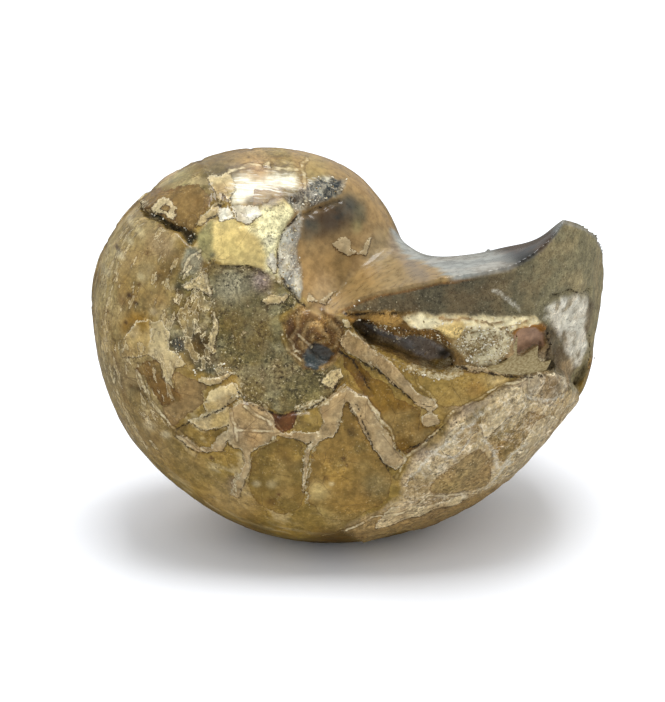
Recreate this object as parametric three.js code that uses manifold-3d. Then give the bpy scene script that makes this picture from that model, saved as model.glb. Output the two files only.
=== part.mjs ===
// Fossil nautilus: the chambered part of a coiled shell, filled with stone, broken off at its last septum.
// One solid. Millimetres, +Z up, resting on a worn flat; the near flank, with its umbilicus, faces -Y.
import * as THREE from "three";
import { mergeVertices } from "three/addons/utils/BufferGeometryUtils.js";
import Module from "manifold-3d";

const wasm = await Module();
wasm.setup();

// ---- Driving dimensions -------------------------------------------------------------------------
// The coil axis is y here. Angles are in degrees round it, from +X towards +Z; one turn further out adds 360.
const BREAK_ANGLE = 18; // where the last septum ends the shell
const BREAK_RADIUS = 73.6; // coil axis to venter at the break
const EXPANSION = 2.76; // radius after one turn, over radius before it
// How the coil was crushed out of true: waves per turn, their size, and the angle of a crest.
const UNEVEN = [[1, 0.0128, 149], [2, 0.0133, -16], [3, 0.0143, 35]];
const HALF_WIDTH = 0.59; // widest half width of a whorl, over its radius
const WIDEST_AT = 0.4; // where that is, as a share of the radius
const SQUARENESS = 2.15; // 2 is an elliptical flank, more is a flatter one
const UMBILICUS_OUT = 26; // how far the umbilicus stands out from the middle plane
const UMBILICUS_DROP = 3; // how far below the coil axis the near one has been pushed

const LEAN = 6; // the coil leans back from upright
const TURN = 9; // and its near flank turns towards +X
const FLAT_DEPTH = 2.8; // stone worn off the lowest point to make the flat it rests on

const STEP = 5; // degrees between two sections of a whorl
const ROWS_OUT = 11; // rows from the venter to the widest line, on each flank
const ROWS_IN = 5; // rows from there to the umbilicus

// The last septum: height above the coil axis along its near edge, then along its worn rim round the venter.
const SEPTUM = [
  [-4, 3], [1, 4.2], [4.5, 4.8], [8, 6.4], [12.5, 9], [17.5, 10.8], [24, 13], [32, 13.8],
  [38.6, 14.4], [43, 16.2], [46, 18], [48.4, 20.2], [50.2, 22.4],
];
const SEPTUM_RIM = [[53, 21.4], [57, 20], [62.5, 18], [67, 14.5], [72, 9], [84, -6]];
const SEPTUM_ACROSS = [-60, -46, -42, -38, -34, -30, -26, -22, -18, -14, -8, -2, 4, 10, 16, 22, 30, 40, 60];
const SEPTUM_FALL = 18; // how much lower it is at the far flank than at the near one
const RIM_FALL = 4.5; // and how much more its rim falls, round the venter
const RIM_BULGE = 3.5; // how much further out its rim is at the venter than at the flanks
const FILLET = 2.5; // how far it climbs where it meets the whorl inside, at the near flank
const FAR_FILLET = 7; // and how much further it climbs round the back of that whorl

// ---- The coil -----------------------------------------------------------------------------------
const rad = THREE.MathUtils.degToRad;
const { smoothstep } = THREE.MathUtils;

function radiusAt(angle) {
  const even = BREAK_RADIUS * EXPANSION ** ((angle - BREAK_ANGLE) / 360);
  const wave = ([waves, size, crest]) => size * Math.cos(waves * rad(angle - crest));
  return even * UNEVEN.reduce((sum, row) => sum + wave(row), 1);
}

const SWELLING = { size: 1.6, x: 66, z: -19, reach: 11 }; // the venter's own, below the break

// Broad, shallow lumps of a worn surface, along the section's own outward direction.
const lump = (x, y, z) =>
  0.45 * Math.sin(x / 8 + 1.3) * Math.sin(z / 9 - 0.4) +
  0.35 * Math.sin(y / 7 + x / 15) * Math.cos(z / 6 + 2) +
  SWELLING.size * Math.exp(-(((x - SWELLING.x) ** 2 + (z - SWELLING.z) ** 2) / SWELLING.reach ** 2));

// A point of the whorl's section: side is -1 on the near flank, 1 on the far one; row counts from the venter.
function sectionPoint(angle, row, side, inset) {
  const radius = radiusAt(angle);
  const [cos, sin] = [Math.cos(rad(angle)), Math.sin(rad(angle))];
  let out, wide, normalOut, normalWide;
  let drop = 0;
  if (row <= ROWS_OUT) {
    const t = (row / ROWS_OUT) * (Math.PI / 2);
    out = radius * (WIDEST_AT + (1 - WIDEST_AT) * Math.max(Math.cos(t), 0) ** (2 / SQUARENESS));
    wide = HALF_WIDTH * radius * Math.sin(t) ** (2 / SQUARENESS);
    [normalOut, normalWide] = [Math.cos(t), Math.sin(t)];
  } else {
    const t = (row - ROWS_OUT) / ROWS_IN; // 0 at the widest line, 1 at the umbilicus
    const give = smoothstep(t, 0, 1); // each whorl's own width gives way to the umbilicus
    out = radius * WIDEST_AT * (1 - t);
    wide = HALF_WIDTH * radius * (1 - give) + UMBILICUS_OUT * give;
    drop = side < 0 ? UMBILICUS_DROP * give : 0;
    [normalOut, normalWide] = [0, 1];
  }
  const grow = lump(out * cos, side * wide, out * sin) - inset * (normalWide + 0.45 * normalOut);
  out = Math.max(out + grow * normalOut, 0);
  wide += grow * normalWide;
  return new THREE.Vector3(out * cos, side * wide, out * sin - drop);
}

function solidOf(geometry) {
  const bare = geometry.clone();
  bare.deleteAttribute("normal");
  bare.deleteAttribute("uv");
  const merged = mergeVertices(bare, 1e-4);
  return new wasm.Manifold(
    new wasm.Mesh({
      numProp: 3,
      vertProperties: new Float32Array(merged.attributes.position.array),
      triVerts: new Uint32Array(merged.index.array),
    }),
  );
}

function solidFrom(points, faces) {
  const vertices = new Float32Array(points.flatMap((p) => [p.x, p.y, p.z]));
  const geometry = new THREE.BufferGeometry();
  geometry.setAttribute("position", new THREE.BufferAttribute(vertices, 3));
  geometry.setIndex(faces.flat());
  return solidOf(geometry);
}

// One whole turn of the shell as a solid, from firstAngle on, ending in a flat radial wall.
function whorl(firstAngle, inset = 0) {
  const rows = ROWS_OUT + ROWS_IN;
  const columns = 360 / STEP;
  const points = [sectionPoint(firstAngle, rows, -1, inset), sectionPoint(firstAngle, rows, 1, inset)];
  const rings = []; // each ring runs from beside the near pole, over the venter, to beside the far pole
  for (let c = 0; c <= columns; c++) {
    const ring = [];
    for (let k = 1 - rows; k <= rows - 1; k++) {
      points.push(sectionPoint(firstAngle + c * STEP, Math.abs(k), k < 0 ? -1 : 1, inset));
      ring.push(points.length - 1);
    }
    rings.push(ring);
  }
  const faces = [];
  const strip = (a, b) => {
    faces.push([0, a[0], b[0]]);
    for (let k = 0; k + 1 < a.length; k++) {
      faces.push([a[k], a[k + 1], b[k]], [b[k], a[k + 1], b[k + 1]]);
    }
    faces.push([1, b.at(-1), a.at(-1)]);
  };
  for (let c = 0; c < columns; c++) strip(rings[c], rings[c + 1]);
  strip(rings[columns], rings[0]);
  return solidFrom(points, faces);
}

// ---- The break at the last septum ---------------------------------------------------------------
const pointsOf = (pairs) => pairs.map(([x, z]) => new THREE.Vector2(x, z));

// A slab seen from the near side, between two depths along y.
function slabOf(outline, from, to) {
  const shape = new THREE.Shape(pointsOf(outline));
  const slab = new THREE.ExtrudeGeometry(shape, { depth: to - from, bevelEnabled: false });
  slab.rotateX(Math.PI / 2).translate(0, to, 0); // the outline's plane is now x-z, and the slab runs to -y
  return solidOf(slab);
}

// How far the septum lies above its near edge: down to the far flank, and up to the whorl inside.
function septumRise(x, y) {
  const fall = (SEPTUM_FALL / 2) * (1 + Math.tanh((y + 1) / 17));
  const rimFall = RIM_FALL * smoothstep(y, -33, -10) * smoothstep(x, 41, 49);
  const nearWhorl = smoothstep(x, 3, 15) * (1 - smoothstep(x, 20, 30));
  const across = THREE.MathUtils.clamp((40 - Math.abs(y)) / 23, 0, 1);
  const behind = smoothstep(y, -18, -6) * (1 - smoothstep(y, 24, 36));
  const farWhorl = smoothstep(x, 3, 15) * (1 - smoothstep(x, 18, 30)) * behind;
  return FILLET * nearWhorl * across ** 2 + FAR_FILLET * farWhorl - fall - rimFall;
}

// A point of the septum, above a point of its near edge.
function septumPoint(x, y, z) {
  const bulge = RIM_BULGE * Math.max(1 - ((y + 2) / 36) ** 2, 0) * smoothstep(x, 34, 50);
  return new THREE.Vector3(x + bulge, y, z + septumRise(x, y));
}

// Everything above the septum: its lower face is the septum's own surface.
function aboveSeptum() {
  const line = [...new THREE.SplineCurve(pointsOf(SEPTUM)).getPoints(24), ...pointsOf(SEPTUM_RIM)];
  const [points, faces] = [[], []];
  const top = 90;
  for (const { x, y: z } of line) for (const y of SEPTUM_ACROSS) points.push(septumPoint(x, y, z));
  for (const { x } of line) for (const y of SEPTUM_ACROSS) points.push(septumPoint(x, y, 0).setZ(top));
  const n = SEPTUM_ACROSS.length;
  const at = (i, j, up) => up * line.length * n + i * n + j;
  const quad = (a, b, c, d) => faces.push([a, b, c], [a, c, d]);
  for (let i = 0; i + 1 < line.length; i++) {
    for (let j = 0; j + 1 < n; j++) {
      quad(at(i, j, 0), at(i, j + 1, 0), at(i + 1, j + 1, 0), at(i + 1, j, 0));
      quad(at(i, j, 1), at(i + 1, j, 1), at(i + 1, j + 1, 1), at(i, j + 1, 1));
    }
    quad(at(i, 0, 0), at(i + 1, 0, 0), at(i + 1, 0, 1), at(i, 0, 1));
    quad(at(i, n - 1, 0), at(i, n - 1, 1), at(i + 1, n - 1, 1), at(i + 1, n - 1, 0));
  }
  const last = line.length - 1;
  for (let j = 0; j + 1 < n; j++) {
    quad(at(0, j, 0), at(0, j, 1), at(0, j + 1, 1), at(0, j + 1, 0));
    quad(at(last, j, 0), at(last, j + 1, 0), at(last, j + 1, 1), at(last, j, 1));
  }
  return solidFrom(points, faces);
}

const OVERHANG = 50; // the coil is first made this far past +X, then cut back to the septum
const PAST_SEPTUM = [[-0.5, -1], [120, -60], [120, 120], [70, 100]];
const BARE = 0.9; // the whorl inside has lost this much of its shell
let stone = whorl(OVERHANG - 360);
const innerWhorl = whorl(OVERHANG - 640, BARE);
const opening = aboveSeptum().intersect(slabOf(PAST_SEPTUM, -70, 70));
stone = stone.subtract(opening.subtract(innerWhorl));

// ---- Where the shell has come away in layers ----------------------------------------------------
const insets = new Map();
const insetWhorl = (depth) => {
  if (!insets.has(depth)) insets.set(depth, whorl(OVERHANG - 360, depth));
  return insets.get(depth);
};

// Takes the stone inside an outline, seen along the coil axis, down to a depth under the shell's surface.
function peel(outline, depth, from = -80, to = 0) {
  stone = stone.subtract(slabOf(outline, from, to).subtract(insetWhorl(depth)));
}

const MOULD = [
  [3, 3.2], [8, 3.6], [12, 4.2], [16.5, 4.4], [20.5, 4.9], [27, 4.4], [37, 3.4], [44.5, 2.5], [47.5, -0.3],
  [49.5, -5.2], [50.5, -10], [53, -14], [58, -19.5], [60.6, -15.5], [61, -6], [80, -6], [80, 60], [24, 28],
];
// Under the mould's corner less and less of the shell is gone, down to a thin strip round the venter;
// above it, more.
const CORNER_STEPS = [
  { depth: 4.5, outline: [[57, 3], [80, 3], [80, 60], [57, 60]] },
  { depth: 5, outline: [[62, 1], [80, 1], [80, 60], [62, 60]] },
  { depth: 3.5, outline: [[60.9, -5.9], [80, -5.9], [80, -12.5], [60.9, -12.5]] },
  { depth: 2.5, outline: [[60.5, -12.4], [80, -12.4], [80, -14.5], [60.3, -14.5]] },
  { depth: 1.5, outline: [[60, -14.4], [80, -14.4], [80, -17], [59, -17]] },
  { depth: 0.9, outline: [[58.9, -16.9], [80, -16.9], [80, -19.5], [58, -19.5]] },
];
const TERRACE = [
  [6.8, 3.4], [12, 4.3], [16.5, 4.5], [20.5, 5], [27, 4.5], [37, 3.5], [44.5, 2.6], [47.5, -0.3],
  [49.5, -5.2], [50, -10.5], [42, -9.7], [36, -8.2], [29, -7], [20.6, -6.6], [15, -4.6], [10.5, -2.4],
];
const HOLLOW = [
  [8, 1.8], [11, 0.8], [14, -1.2], [17, -1.8], [20, -1], [24, -1.5], [27, -3.2], [28.3, -5.5], [26.5, -7],
  [21.5, -6.2], [16, -4], [12, -2.6], [9.8, -0.8],
];
const RECESS = [
  [40, -0.5], [41.3, 0.5], [46, 0], [48, -2], [47.6, -5], [46, -6.3], [41.5, -6.5], [40, -4],
];
const BARE_FLANK = [
  [-0.5, 23.7], [-3.4, 20.1], [-4.6, 16.3], [-3.7, 11.2], [-1.5, 7], [0.8, 4.8], [8, 6], [30, 36], [18, 30],
  [9, 27],
];
const DISC = [
  [-21.6, 17], [-17.4, 13.8], [-9.1, 13.3], [-4, 11], [-2, 5.5], [-5.6, 2.4], [-6, -3.1], [-2.3, -9.5],
  [6.5, -9.9], [2.4, -13.8], [-2.8, -16.9], [-7.7, -16.4], [-15.6, -11.9], [-21.6, -8.8], [-24, 0.5],
  [-24.4, 9.4],
];
const PIT = [[0.1, -3.3], [2.4, -2.5], [4.7, -3.4], [5.8, -5.3], [4.6, -7.3], [1.8, -7.4], [0.2, -5.9]];
const CRACK = [
  [-34, 22.6], [-31.8, 22.1], [-28.1, 21.6], [-24.2, 19.7], [-23, 17.7], [-24, 17.7], [-25.2, 18.9],
  [-28.5, 20.5], [-31.8, 20.9], [-34, 21.2],
];
const CHAMBERS = [
  [
    [6.3, -14.5], [9.5, -21.7], [14.8, -31.1], [14.9, -37.6], [8.3, -43.1], [-0.1, -41.5], [-1.9, -33.5],
    [0.7, -24.1],
  ],
  [
    [8, -6], [11.7, -9], [17, -12.9], [22, -16.2], [25.3, -19.8], [22.5, -24.8], [18.4, -26], [15.6, -22.9],
    [10.2, -13],
  ],
  [[19, -8.6], [24.6, -9.6], [41.6, -11.4], [37.5, -14], [26.1, -16.8], [21.8, -12.8]],
];
const FAR_CHAMBERS = [
  [[8, -16], [14, -24], [22, -33], [16, -42], [5, -45], [2, -33]],
  [[16, -10], [27, -14], [38, -20], [36, -30], [27, -33], [20, -22]],
];
const FAR_UMBILICUS = [[-5, 1], [-2, 5], [3, 5], [6, 1], [5, -4], [0, -6], [-4, -4]];

peel(MOULD, 4, -80, 26);
for (const { depth, outline } of CORNER_STEPS) peel(outline, depth, -80, 26);
peel(TERRACE, 2.4);
peel(HOLLOW, 8);
peel(RECESS, 5);
peel(BARE_FLANK, BARE);
peel(DISC, 0.9);
peel(PIT, 2.8);
peel(CRACK, 2.2);
for (const chamber of CHAMBERS) peel(chamber, 0.8);
for (const chamber of FAR_CHAMBERS) peel(chamber, 0.8, 0, 80);
peel(FAR_UMBILICUS, 2.4, 0, 80);

// ---- Its place on the table ---------------------------------------------------------------------
const upright = new THREE.Matrix4()
  .makeRotationZ(rad(TURN))
  .multiply(new THREE.Matrix4().makeRotationX(rad(-LEAN)));

function transformed(solid, matrix) {
  const mesh = solid.getMesh();
  const points = [];
  for (let i = 0; i < mesh.numVert; i++) {
    const p = new THREE.Vector3().fromArray(mesh.vertProperties, i * mesh.numProp);
    points.push(p.applyMatrix4(matrix));
  }
  const faces = [];
  for (let i = 0; i < mesh.triVerts.length; i += 3) faces.push([...mesh.triVerts.subarray(i, i + 3)]);
  return [points, faces];
}

const [points, faces] = transformed(stone, upright);
const box = new THREE.Box3().setFromPoints(points);
const middle = box.getCenter(new THREE.Vector3());
const shift = new THREE.Vector3(-middle.x, -middle.y, -box.min.z - FLAT_DEPTH);
for (const p of points) p.add(shift);
stone = solidFrom(points, faces);
const table = solidOf(new THREE.BoxGeometry(300, 300, 100).translate(0, 0, -50));
stone = stone.subtract(table);

function meshOf(solid, name, material) {
  const { vertProperties, triVerts } = solid.getMesh();
  const geometry = new THREE.BufferGeometry();
  geometry.setAttribute("position", new THREE.BufferAttribute(new Float32Array(vertProperties), 3));
  geometry.setIndex(new THREE.BufferAttribute(new Uint32Array(triVerts), 1));
  geometry.computeVertexNormals();
  const mesh = new THREE.Mesh(geometry, material);
  mesh.name = name;
  return mesh;
}

const shellStone = new THREE.MeshStandardMaterial({ color: 0x9a7b4a, roughness: 0.35, metalness: 0 });
const nautilus = new THREE.Group();
nautilus.add(meshOf(stone, "nautilus", shellStone));
export default nautilus;
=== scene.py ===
"""A fossil nautilus: the chambered part of a coiled shell, filled with stone and worn smooth.

The stone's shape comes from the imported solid. Here it gets its relief, where layers of shell and
mother-of-pearl have come away, its colours, and the small crystals that have grown on its broken ledges.
Distances in the tables are millimetres in the coil's own frame, x and z across the coil axis, y along it.
"""

import math

import bmesh
import bpy
import mathutils
import numpy as np
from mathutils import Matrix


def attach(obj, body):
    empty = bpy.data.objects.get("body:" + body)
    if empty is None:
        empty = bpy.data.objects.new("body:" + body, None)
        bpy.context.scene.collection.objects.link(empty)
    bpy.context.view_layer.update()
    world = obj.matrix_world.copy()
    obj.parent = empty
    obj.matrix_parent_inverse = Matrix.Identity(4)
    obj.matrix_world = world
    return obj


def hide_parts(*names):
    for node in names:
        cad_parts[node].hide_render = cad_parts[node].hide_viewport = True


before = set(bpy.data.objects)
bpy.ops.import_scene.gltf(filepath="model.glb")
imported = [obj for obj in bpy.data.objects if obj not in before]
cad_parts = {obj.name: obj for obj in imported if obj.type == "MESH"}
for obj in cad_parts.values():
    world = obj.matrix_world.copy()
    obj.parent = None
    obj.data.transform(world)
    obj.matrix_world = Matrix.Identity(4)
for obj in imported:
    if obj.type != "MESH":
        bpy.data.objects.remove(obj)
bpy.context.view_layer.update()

MM = 0.001
COIL_AXIS = np.array([-12.244, -4.321, 52.17])  # where the coil axis crosses the middle plane
LEAN = math.radians(6)  # the coil leans back
TURN = math.radians(9)  # and its near flank turns towards +X

VOXEL = 0.5  # finest detail of the relief
TRIANGLES = 188_000


# ---- Places on the near flank, seen along the coil axis --------------------------------------------------
SILVER = [
    [(-14, 29), (-9.5, 30), (-2, 29), (4, 27.5), (0, 26.5), (-7, 25.5), (-11.5, 25), (-14, 24), (-15, 26)],
]
SILVER_LOW = [
    [(-11.5, 25), (-8, 26.5), (-3.5, 27), (0.5, 26.5), (-0.5, 25.5), (-3.5, 25), (-8.5, 24), (-11, 23.5)],
]
WHITE = [
    [(-14.5, 24), (-9.5, 24), (-8.5, 22.5), (-11, 21), (-13.5, 21.5)],
    [(-17.5, 23), (-15, 24), (-14, 22), (-17, 21.5)],
    [(-5.5, 13), (-6.5, 11), (-8, 13), (-7, 15.5)],
]
YELLOW = [
    [(-18.5, 21.5), (-13, 22), (-9.5, 22.5), (-7.5, 24), (-3.5, 24.5), (-0.5, 22), (-0.5, 21), (-4.5, 19),
     (-5, 16), (-5.5, 13), (-6, 10.5), (-8, 11), (-10.5, 12.5), (-13, 13), (-15.5, 13), (-18, 14),
     (-19.5, 15), (-19, 18.5)],
]
YELLOW_PALE = [
    [(-12, 20.5), (-10.5, 22.5), (-7.5, 24), (-4, 24.5), (-0.5, 22), (-4, 18.5), (-5.5, 15.5), (-6.5, 12),
     (-5.5, 10), (-8.5, 11), (-8, 14.5), (-8.5, 17), (-10.5, 19)],
]
OLIVE = [
    [(-22, 18.5), (-20, 21), (-18.5, 21.5), (-19, 14.5), (-20.5, 13.5), (-22, 16)],
]
CRUST = [
    [(-0.5, 21.5), (0.5, 22), (-0.5, 19), (-1.5, 15), (-0.5, 10.5), (-1, 7), (-1.5, 5.5), (-4, 7.5),
     (-5.5, 10.5), (-5.5, 14), (-4.5, 18)],
    [(-3.5, 25), (-0.5, 26), (2.5, 27.5), (6.5, 27.5), (11, 26.5), (8.5, 24.5), (5, 23.5), (1, 22.5),
     (-1, 22.5), (-2.5, 24)],
]
FLAKE_ON_BARE = [
    [(6, 15), (8.5, 16.5), (10, 15.5), (10, 13.5), (13.5, 12.5), (15, 16), (13, 14), (11.5, 13),
     (9.5, 12.5), (7.5, 13.5)],
    [(0.5, 6.5), (2, 4.5), (7, 6), (4, 4), (0, 5)],
]
DISC = [
    [(-19.5, 14), (-17.5, 13), (-15.5, 13), (-12.5, 13), (-10, 12), (-8, 10.5), (-5, 9), (-3.5, 7),
     (-1.5, 5), (-5, 3.5), (-7, 1.5), (-6, -2.5), (-2.5, -7.5), (1.5, -8.5), (4.5, -7.5), (6.5, -10),
     (3.5, -13.5), (-0.5, -16), (-4, -16.5), (-7.5, -16.5), (-11.5, -15), (-14.5, -13.5), (-14.5, -10.5),
     (-16, -8), (-19.5, -5), (-20, -1.5), (-19.5, 3), (-20, 6.5), (-19.5, 9), (-21, 11.5)],
]
COLUMN = [
    [(-25, 14), (-21.5, 16), (-21, 11.5), (-19.5, 8.5), (-19.5, 2.5), (-20, -2.5), (-18, -7), (-16, -8.5),
     (-20, -9), (-23, -8), (-25.5, -4), (-28.5, -3), (-29, 1.5), (-28, 5.5), (-27, 8), (-26, 11.5)],
]
GREY_PATCH = [
    [(-25.5, 13.5), (-24.5, 16), (-22.5, 16.5), (-21, 14.5), (-22, 12.5), (-24.5, 11.5)],
]
CREAM = [
    [(-25.5, 9), (-23, 11), (-21.5, 12), (-20.5, 9.5), (-19.5, 7), (-21.5, 8.5), (-23, 9), (-24.5, 8.5)],
    [(-20, 4), (-19, 2.5), (-19, 0), (-20.5, -3.5), (-21.5, -2.5), (-20, 0.5)],
    [(-18.5, 29), (-13.5, 30), (-13.5, 27), (-15, 24.5), (-16, 26.5), (-17, 24), (-17.5, 27)],
    [(-22, 20.5), (-21, 22.5), (-18.5, 24.5), (-16, 24.5), (-18, 22.5), (-20.5, 21)],
    [(-23.5, -9), (-20, -9), (-15.5, -8), (-17.5, -9.5), (-21.5, -10.5), (-23, -10)],
    [(-22, -13.5), (-21, -11.5), (-18.5, -10.5), (-17, -10.5), (-15, -11), (-14.5, -13), (-17, -12.5),
     (-20, -14.5)],
    [(-32, 2), (-30, 2.5), (-28.5, 0.5), (-29, -3), (-27, -4), (-26, -6), (-28, -7), (-29, -10),
     (-28, -11.5), (-30, -10), (-31, -6.5), (-33, -4.5)],
    [(2, -10.5), (3.5, -9), (5.5, -8.5), (6, -10), (4, -12), (2.5, -12)],
    [(-25.5, -18.5), (-21.5, -16), (-18.5, -15), (-21.5, -17), (-24.5, -19)],
    [(-5.5, 6), (-3.5, 6.5), (-5, 5), (-8.5, 5), (-9.5, 6), (-7.5, 6.5)],
    [(-7, 31), (-5, 31.5), (-5, 30.5), (-6.5, 30.5)],
    [(6, 2), (7.5, 2), (8, 0.5), (6.5, 0.5)],
]
GOLD = [
    [(-37.5, -2), (-35, 1.5), (-32, 2.5), (-32.5, -4.5), (-38, -6.5)],
    [(-22.5, -14.5), (-20.5, -13), (-17.5, -11), (-15, -13), (-18, -15), (-21.5, -16.5)],
    [(-24.5, -18.5), (-21.5, -17), (-17, -15), (-17.5, -18.5), (-20, -20), (-23, -20)],
]
NET = [
    [(-32, 23), (-30, 24), (-28, 25), (-26.5, 25), (-25.5, 24), (-26.5, 22), (-28.5, 22), (-30.5, 22.5),
     (-32, 22)],
]
NET_HOLES = [
    [(-32, 22.5), (-30.5, 24), (-29, 25), (-29, 24), (-30.5, 22.5)],
    [(-28.5, 23), (-27.5, 24), (-26.5, 24), (-27, 22.5), (-28.5, 22.5)],
]
BROWN = [
    [(-32, 24.5), (-28, 26), (-20.5, 28), (-18.5, 25.5), (-20, 24), (-22, 20.5), (-23.5, 19.5), (-27, 21),
     (-31, 22.5), (-32, 22.5)],
    [(-36, -8.5), (-34, -6.5), (-31.5, -6), (-30, -8.5), (-28, -11.5), (-26.5, -13.5), (-29, -15),
     (-31, -15), (-32.5, -12.5), (-34, -9.5)],
    [(-29.5, -7.5), (-25.5, -8.5), (-23.5, -9.5), (-21.5, -11), (-23.5, -12.5), (-26.5, -13.5), (-28, -11)],
    [(-31, -15.5), (-29, -15), (-25.5, -12.5), (-22.5, -12.5), (-22.5, -14.5), (-25, -16.5),
     (-27.5, -19.5), (-29, -20), (-30.5, -17.5)],
    [(-9, 27), (-4.5, 27), (-4, 25.5), (-7, 24.5), (-10.5, 24)],
    [(49.5, -21.5), (50, -28), (45, -30), (38.5, -30), (37, -25.5), (41, -22), (44, -18.5)],
]
DARKRED = [
    [(-10.5, -16.5), (-7.5, -17), (-3, -16.5), (-4.5, -19.5), (-7, -20.5), (-9, -19.5)],
]
BEIGE = [
    [(-17, -15.5), (-14.5, -14), (-11, -15), (-9, -17), (-8, -20), (-6.5, -20.5), (-4.5, -20),
     (-2.5, -20.5), (0.5, -20), (-0.5, -22), (-2.5, -23), (-5, -21.5), (-8, -21), (-10.5, -23),
     (-13, -25), (-13.5, -29.5), (-14.5, -33.5), (-15.5, -36.5), (-17, -35.5), (-15.5, -31.5),
     (-14.5, -27.5), (-15, -24.5), (-17, -24), (-18.5, -21)],
    [(1, -15.5), (3.5, -13.5), (6.5, -11.5), (8, -13), (5.5, -14.5), (4.5, -19.5), (3.5, -21.5),
     (0.5, -22.5), (-1.5, -24), (-2, -28.5), (-2.5, -34), (-3, -34), (-3, -28), (-2.5, -24), (0, -21),
     (1.5, -18.5)],
    [(6.5, -13.5), (8.5, -13), (10.5, -13.5), (11.5, -15.5), (13.5, -18.5), (14.5, -21.5), (16, -24.5),
     (17.5, -26), (18, -27), (16, -29), (14, -28), (12, -24.5), (9.5, -20), (7, -15)],
    [(7, 0), (9.5, -1), (12.5, -4.5), (15, -5.5), (16.5, -6.5), (17.5, -8.5), (20, -11.5), (23, -13),
     (24.5, -15), (23, -16), (20.5, -14.5), (18, -12), (16, -10.5), (15, -10), (12.5, -7.5), (9, -6),
     (7, -4.5), (6, -2)],
    [(21, -17), (23, -16), (24.5, -17), (24.5, -18.5), (22, -19.5), (21, -18.5)],
    [(-28.5, -22), (-26, -22), (-23.5, -24.5), (-21, -24.5), (-20, -22), (-18.5, -20.5), (-17.5, -21.5),
     (-18.5, -24.5), (-22, -26), (-24.5, -25)],
    [(38, -5.5), (39, -3), (40, -1.5), (40.5, -5.5), (43.5, -5.5), (45.5, -5), (46, -7.5), (48, -8.5),
     (45.5, -9), (40.5, -7.5)],
    [(28.5, -6.4), (31, -6.2), (36, -7.4), (42, -9), (37, -8.6), (31, -7.4)],
]
WIN_GOLD = [
    [(14.5, -3.5), (17, -5), (20.5, -6.3), (26, -7.4), (31, -7.4), (37, -8.3), (41.5, -9.5), (39.5, -10.5),
     (36.5, -12), (33.5, -14), (29.5, -15), (26.5, -15), (24.5, -14.5), (23, -13), (20, -11), (17.5, -8.5)],
    [(-10.5, -23.5), (-7, -21.5), (-4.5, -21.5), (-3, -24), (-2.5, -28.5), (-2.5, -37.5), (-6.5, -40.5),
     (-11.5, -38), (-13.5, -33), (-13, -27)],
    [(6.5, -14.5), (7.5, -14), (9.5, -19), (12, -24.5), (15, -30.5), (15, -36.5), (12, -38.5), (7, -42.5),
     (2, -41.5), (-1.5, -36.5), (-1.5, -28.5), (-0.5, -24), (1.5, -22), (3.5, -21.5), (4.5, -18.5),
     (5.5, -15)],
]
WIN_BROWN = [
    [(6.5, -5), (9.5, -7.5), (12, -9.5), (14.5, -10.5), (16, -13), (19.5, -14.5), (21, -15.5),
     (20.5, -17.5), (21.5, -19.5), (24.5, -19.5), (23.5, -22), (21, -24), (18.5, -26), (16.5, -24.5),
     (14.5, -21.5), (14, -18.5), (11.5, -15), (9.5, -13), (8, -10), (6.5, -8)],
    [(23.5, -34.5), (25, -32), (29, -28), (33.5, -25.5), (35, -27), (37.5, -32), (37.5, -36.5),
     (34, -37.5), (29.5, -37.5), (24.5, -36)],
]
BAND = [
    [(55.5, -14.5), (51.5, -11.5), (47.5, -10), (41.5, -10), (38.5, -11.5), (33.5, -14), (29.5, -16),
     (27, -17.5), (25.5, -21.5), (22.5, -25), (19, -27), (17.5, -31.5), (17.5, -36.5), (14, -39.5),
     (8.5, -42), (6.5, -44.5), (11.5, -50), (20, -47), (33, -53.5), (42, -49), (49, -43), (55.5, -35.5),
     (60.5, -30.5), (58.5, -20.5)],
]
NETWORK = [
    [(47.5, -10), (49, -7.5), (47.5, -1.5), (49, 0.5), (49.5, 3.8), (53, 4.3), (60, 2), (61.5, -1),
     (60.5, -6.5), (58.5, -12.5), (56, -16.5), (52.5, -13)],
]
BAND_PLATES = [
    [(14.5, -40), (17.5, -38.5), (21, -39.3), (25, -39.8), (29, -38.8), (32.5, -38.2), (33.5, -39.5),
     (30, -40.6), (26, -41), (22.5, -42), (18, -43.2), (13.5, -44.8), (13, -43)],
    [(43, -10.5), (46, -10.2), (49.5, -11), (53, -12.5), (54.5, -15), (53, -16.5), (51, -16.5), (50, -19),
     (47.5, -17.5), (46.5, -14.5), (43.5, -14)],
    [(36, -12.5), (41, -11.5), (43, -14.5), (44, -17), (40, -18.5), (37.5, -21), (34.5, -22.5), (33, -19.5),
     (33.8, -16)],
    [(26, -21), (28.5, -19), (31.5, -17.5), (32.5, -20.5), (30, -24), (27.5, -27), (25, -25)],
    [(46, -22), (50, -21), (53, -24), (51, -29), (46, -33.5), (42, -36), (41, -32.5), (44, -27.5)],
]
WHITE_CRYSTALS = [
    [(47.5, 3.3), (51, 4.8), (57, 3.8), (59, 1.3), (58.5, -4), (60, -8.5), (59, -13.5), (56.5, -13),
     (54.5, -9), (53, -5.5), (50.5, -2)],
]
KNOB = [
    [(-5.5, 1.5), (-2.5, 4), (3, 4), (6, 2.5), (7, -2), (6, -6.5), (2.5, -8.5), (-1.5, -8), (-4, -5)],
]
PITSPOT = [
    [(-1.6, -5.4), (0.2, -3.6), (2.4, -3.8), (5, -5.4), (3.4, -7.2), (0.8, -8.4), (-1, -7.4)],
]
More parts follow.
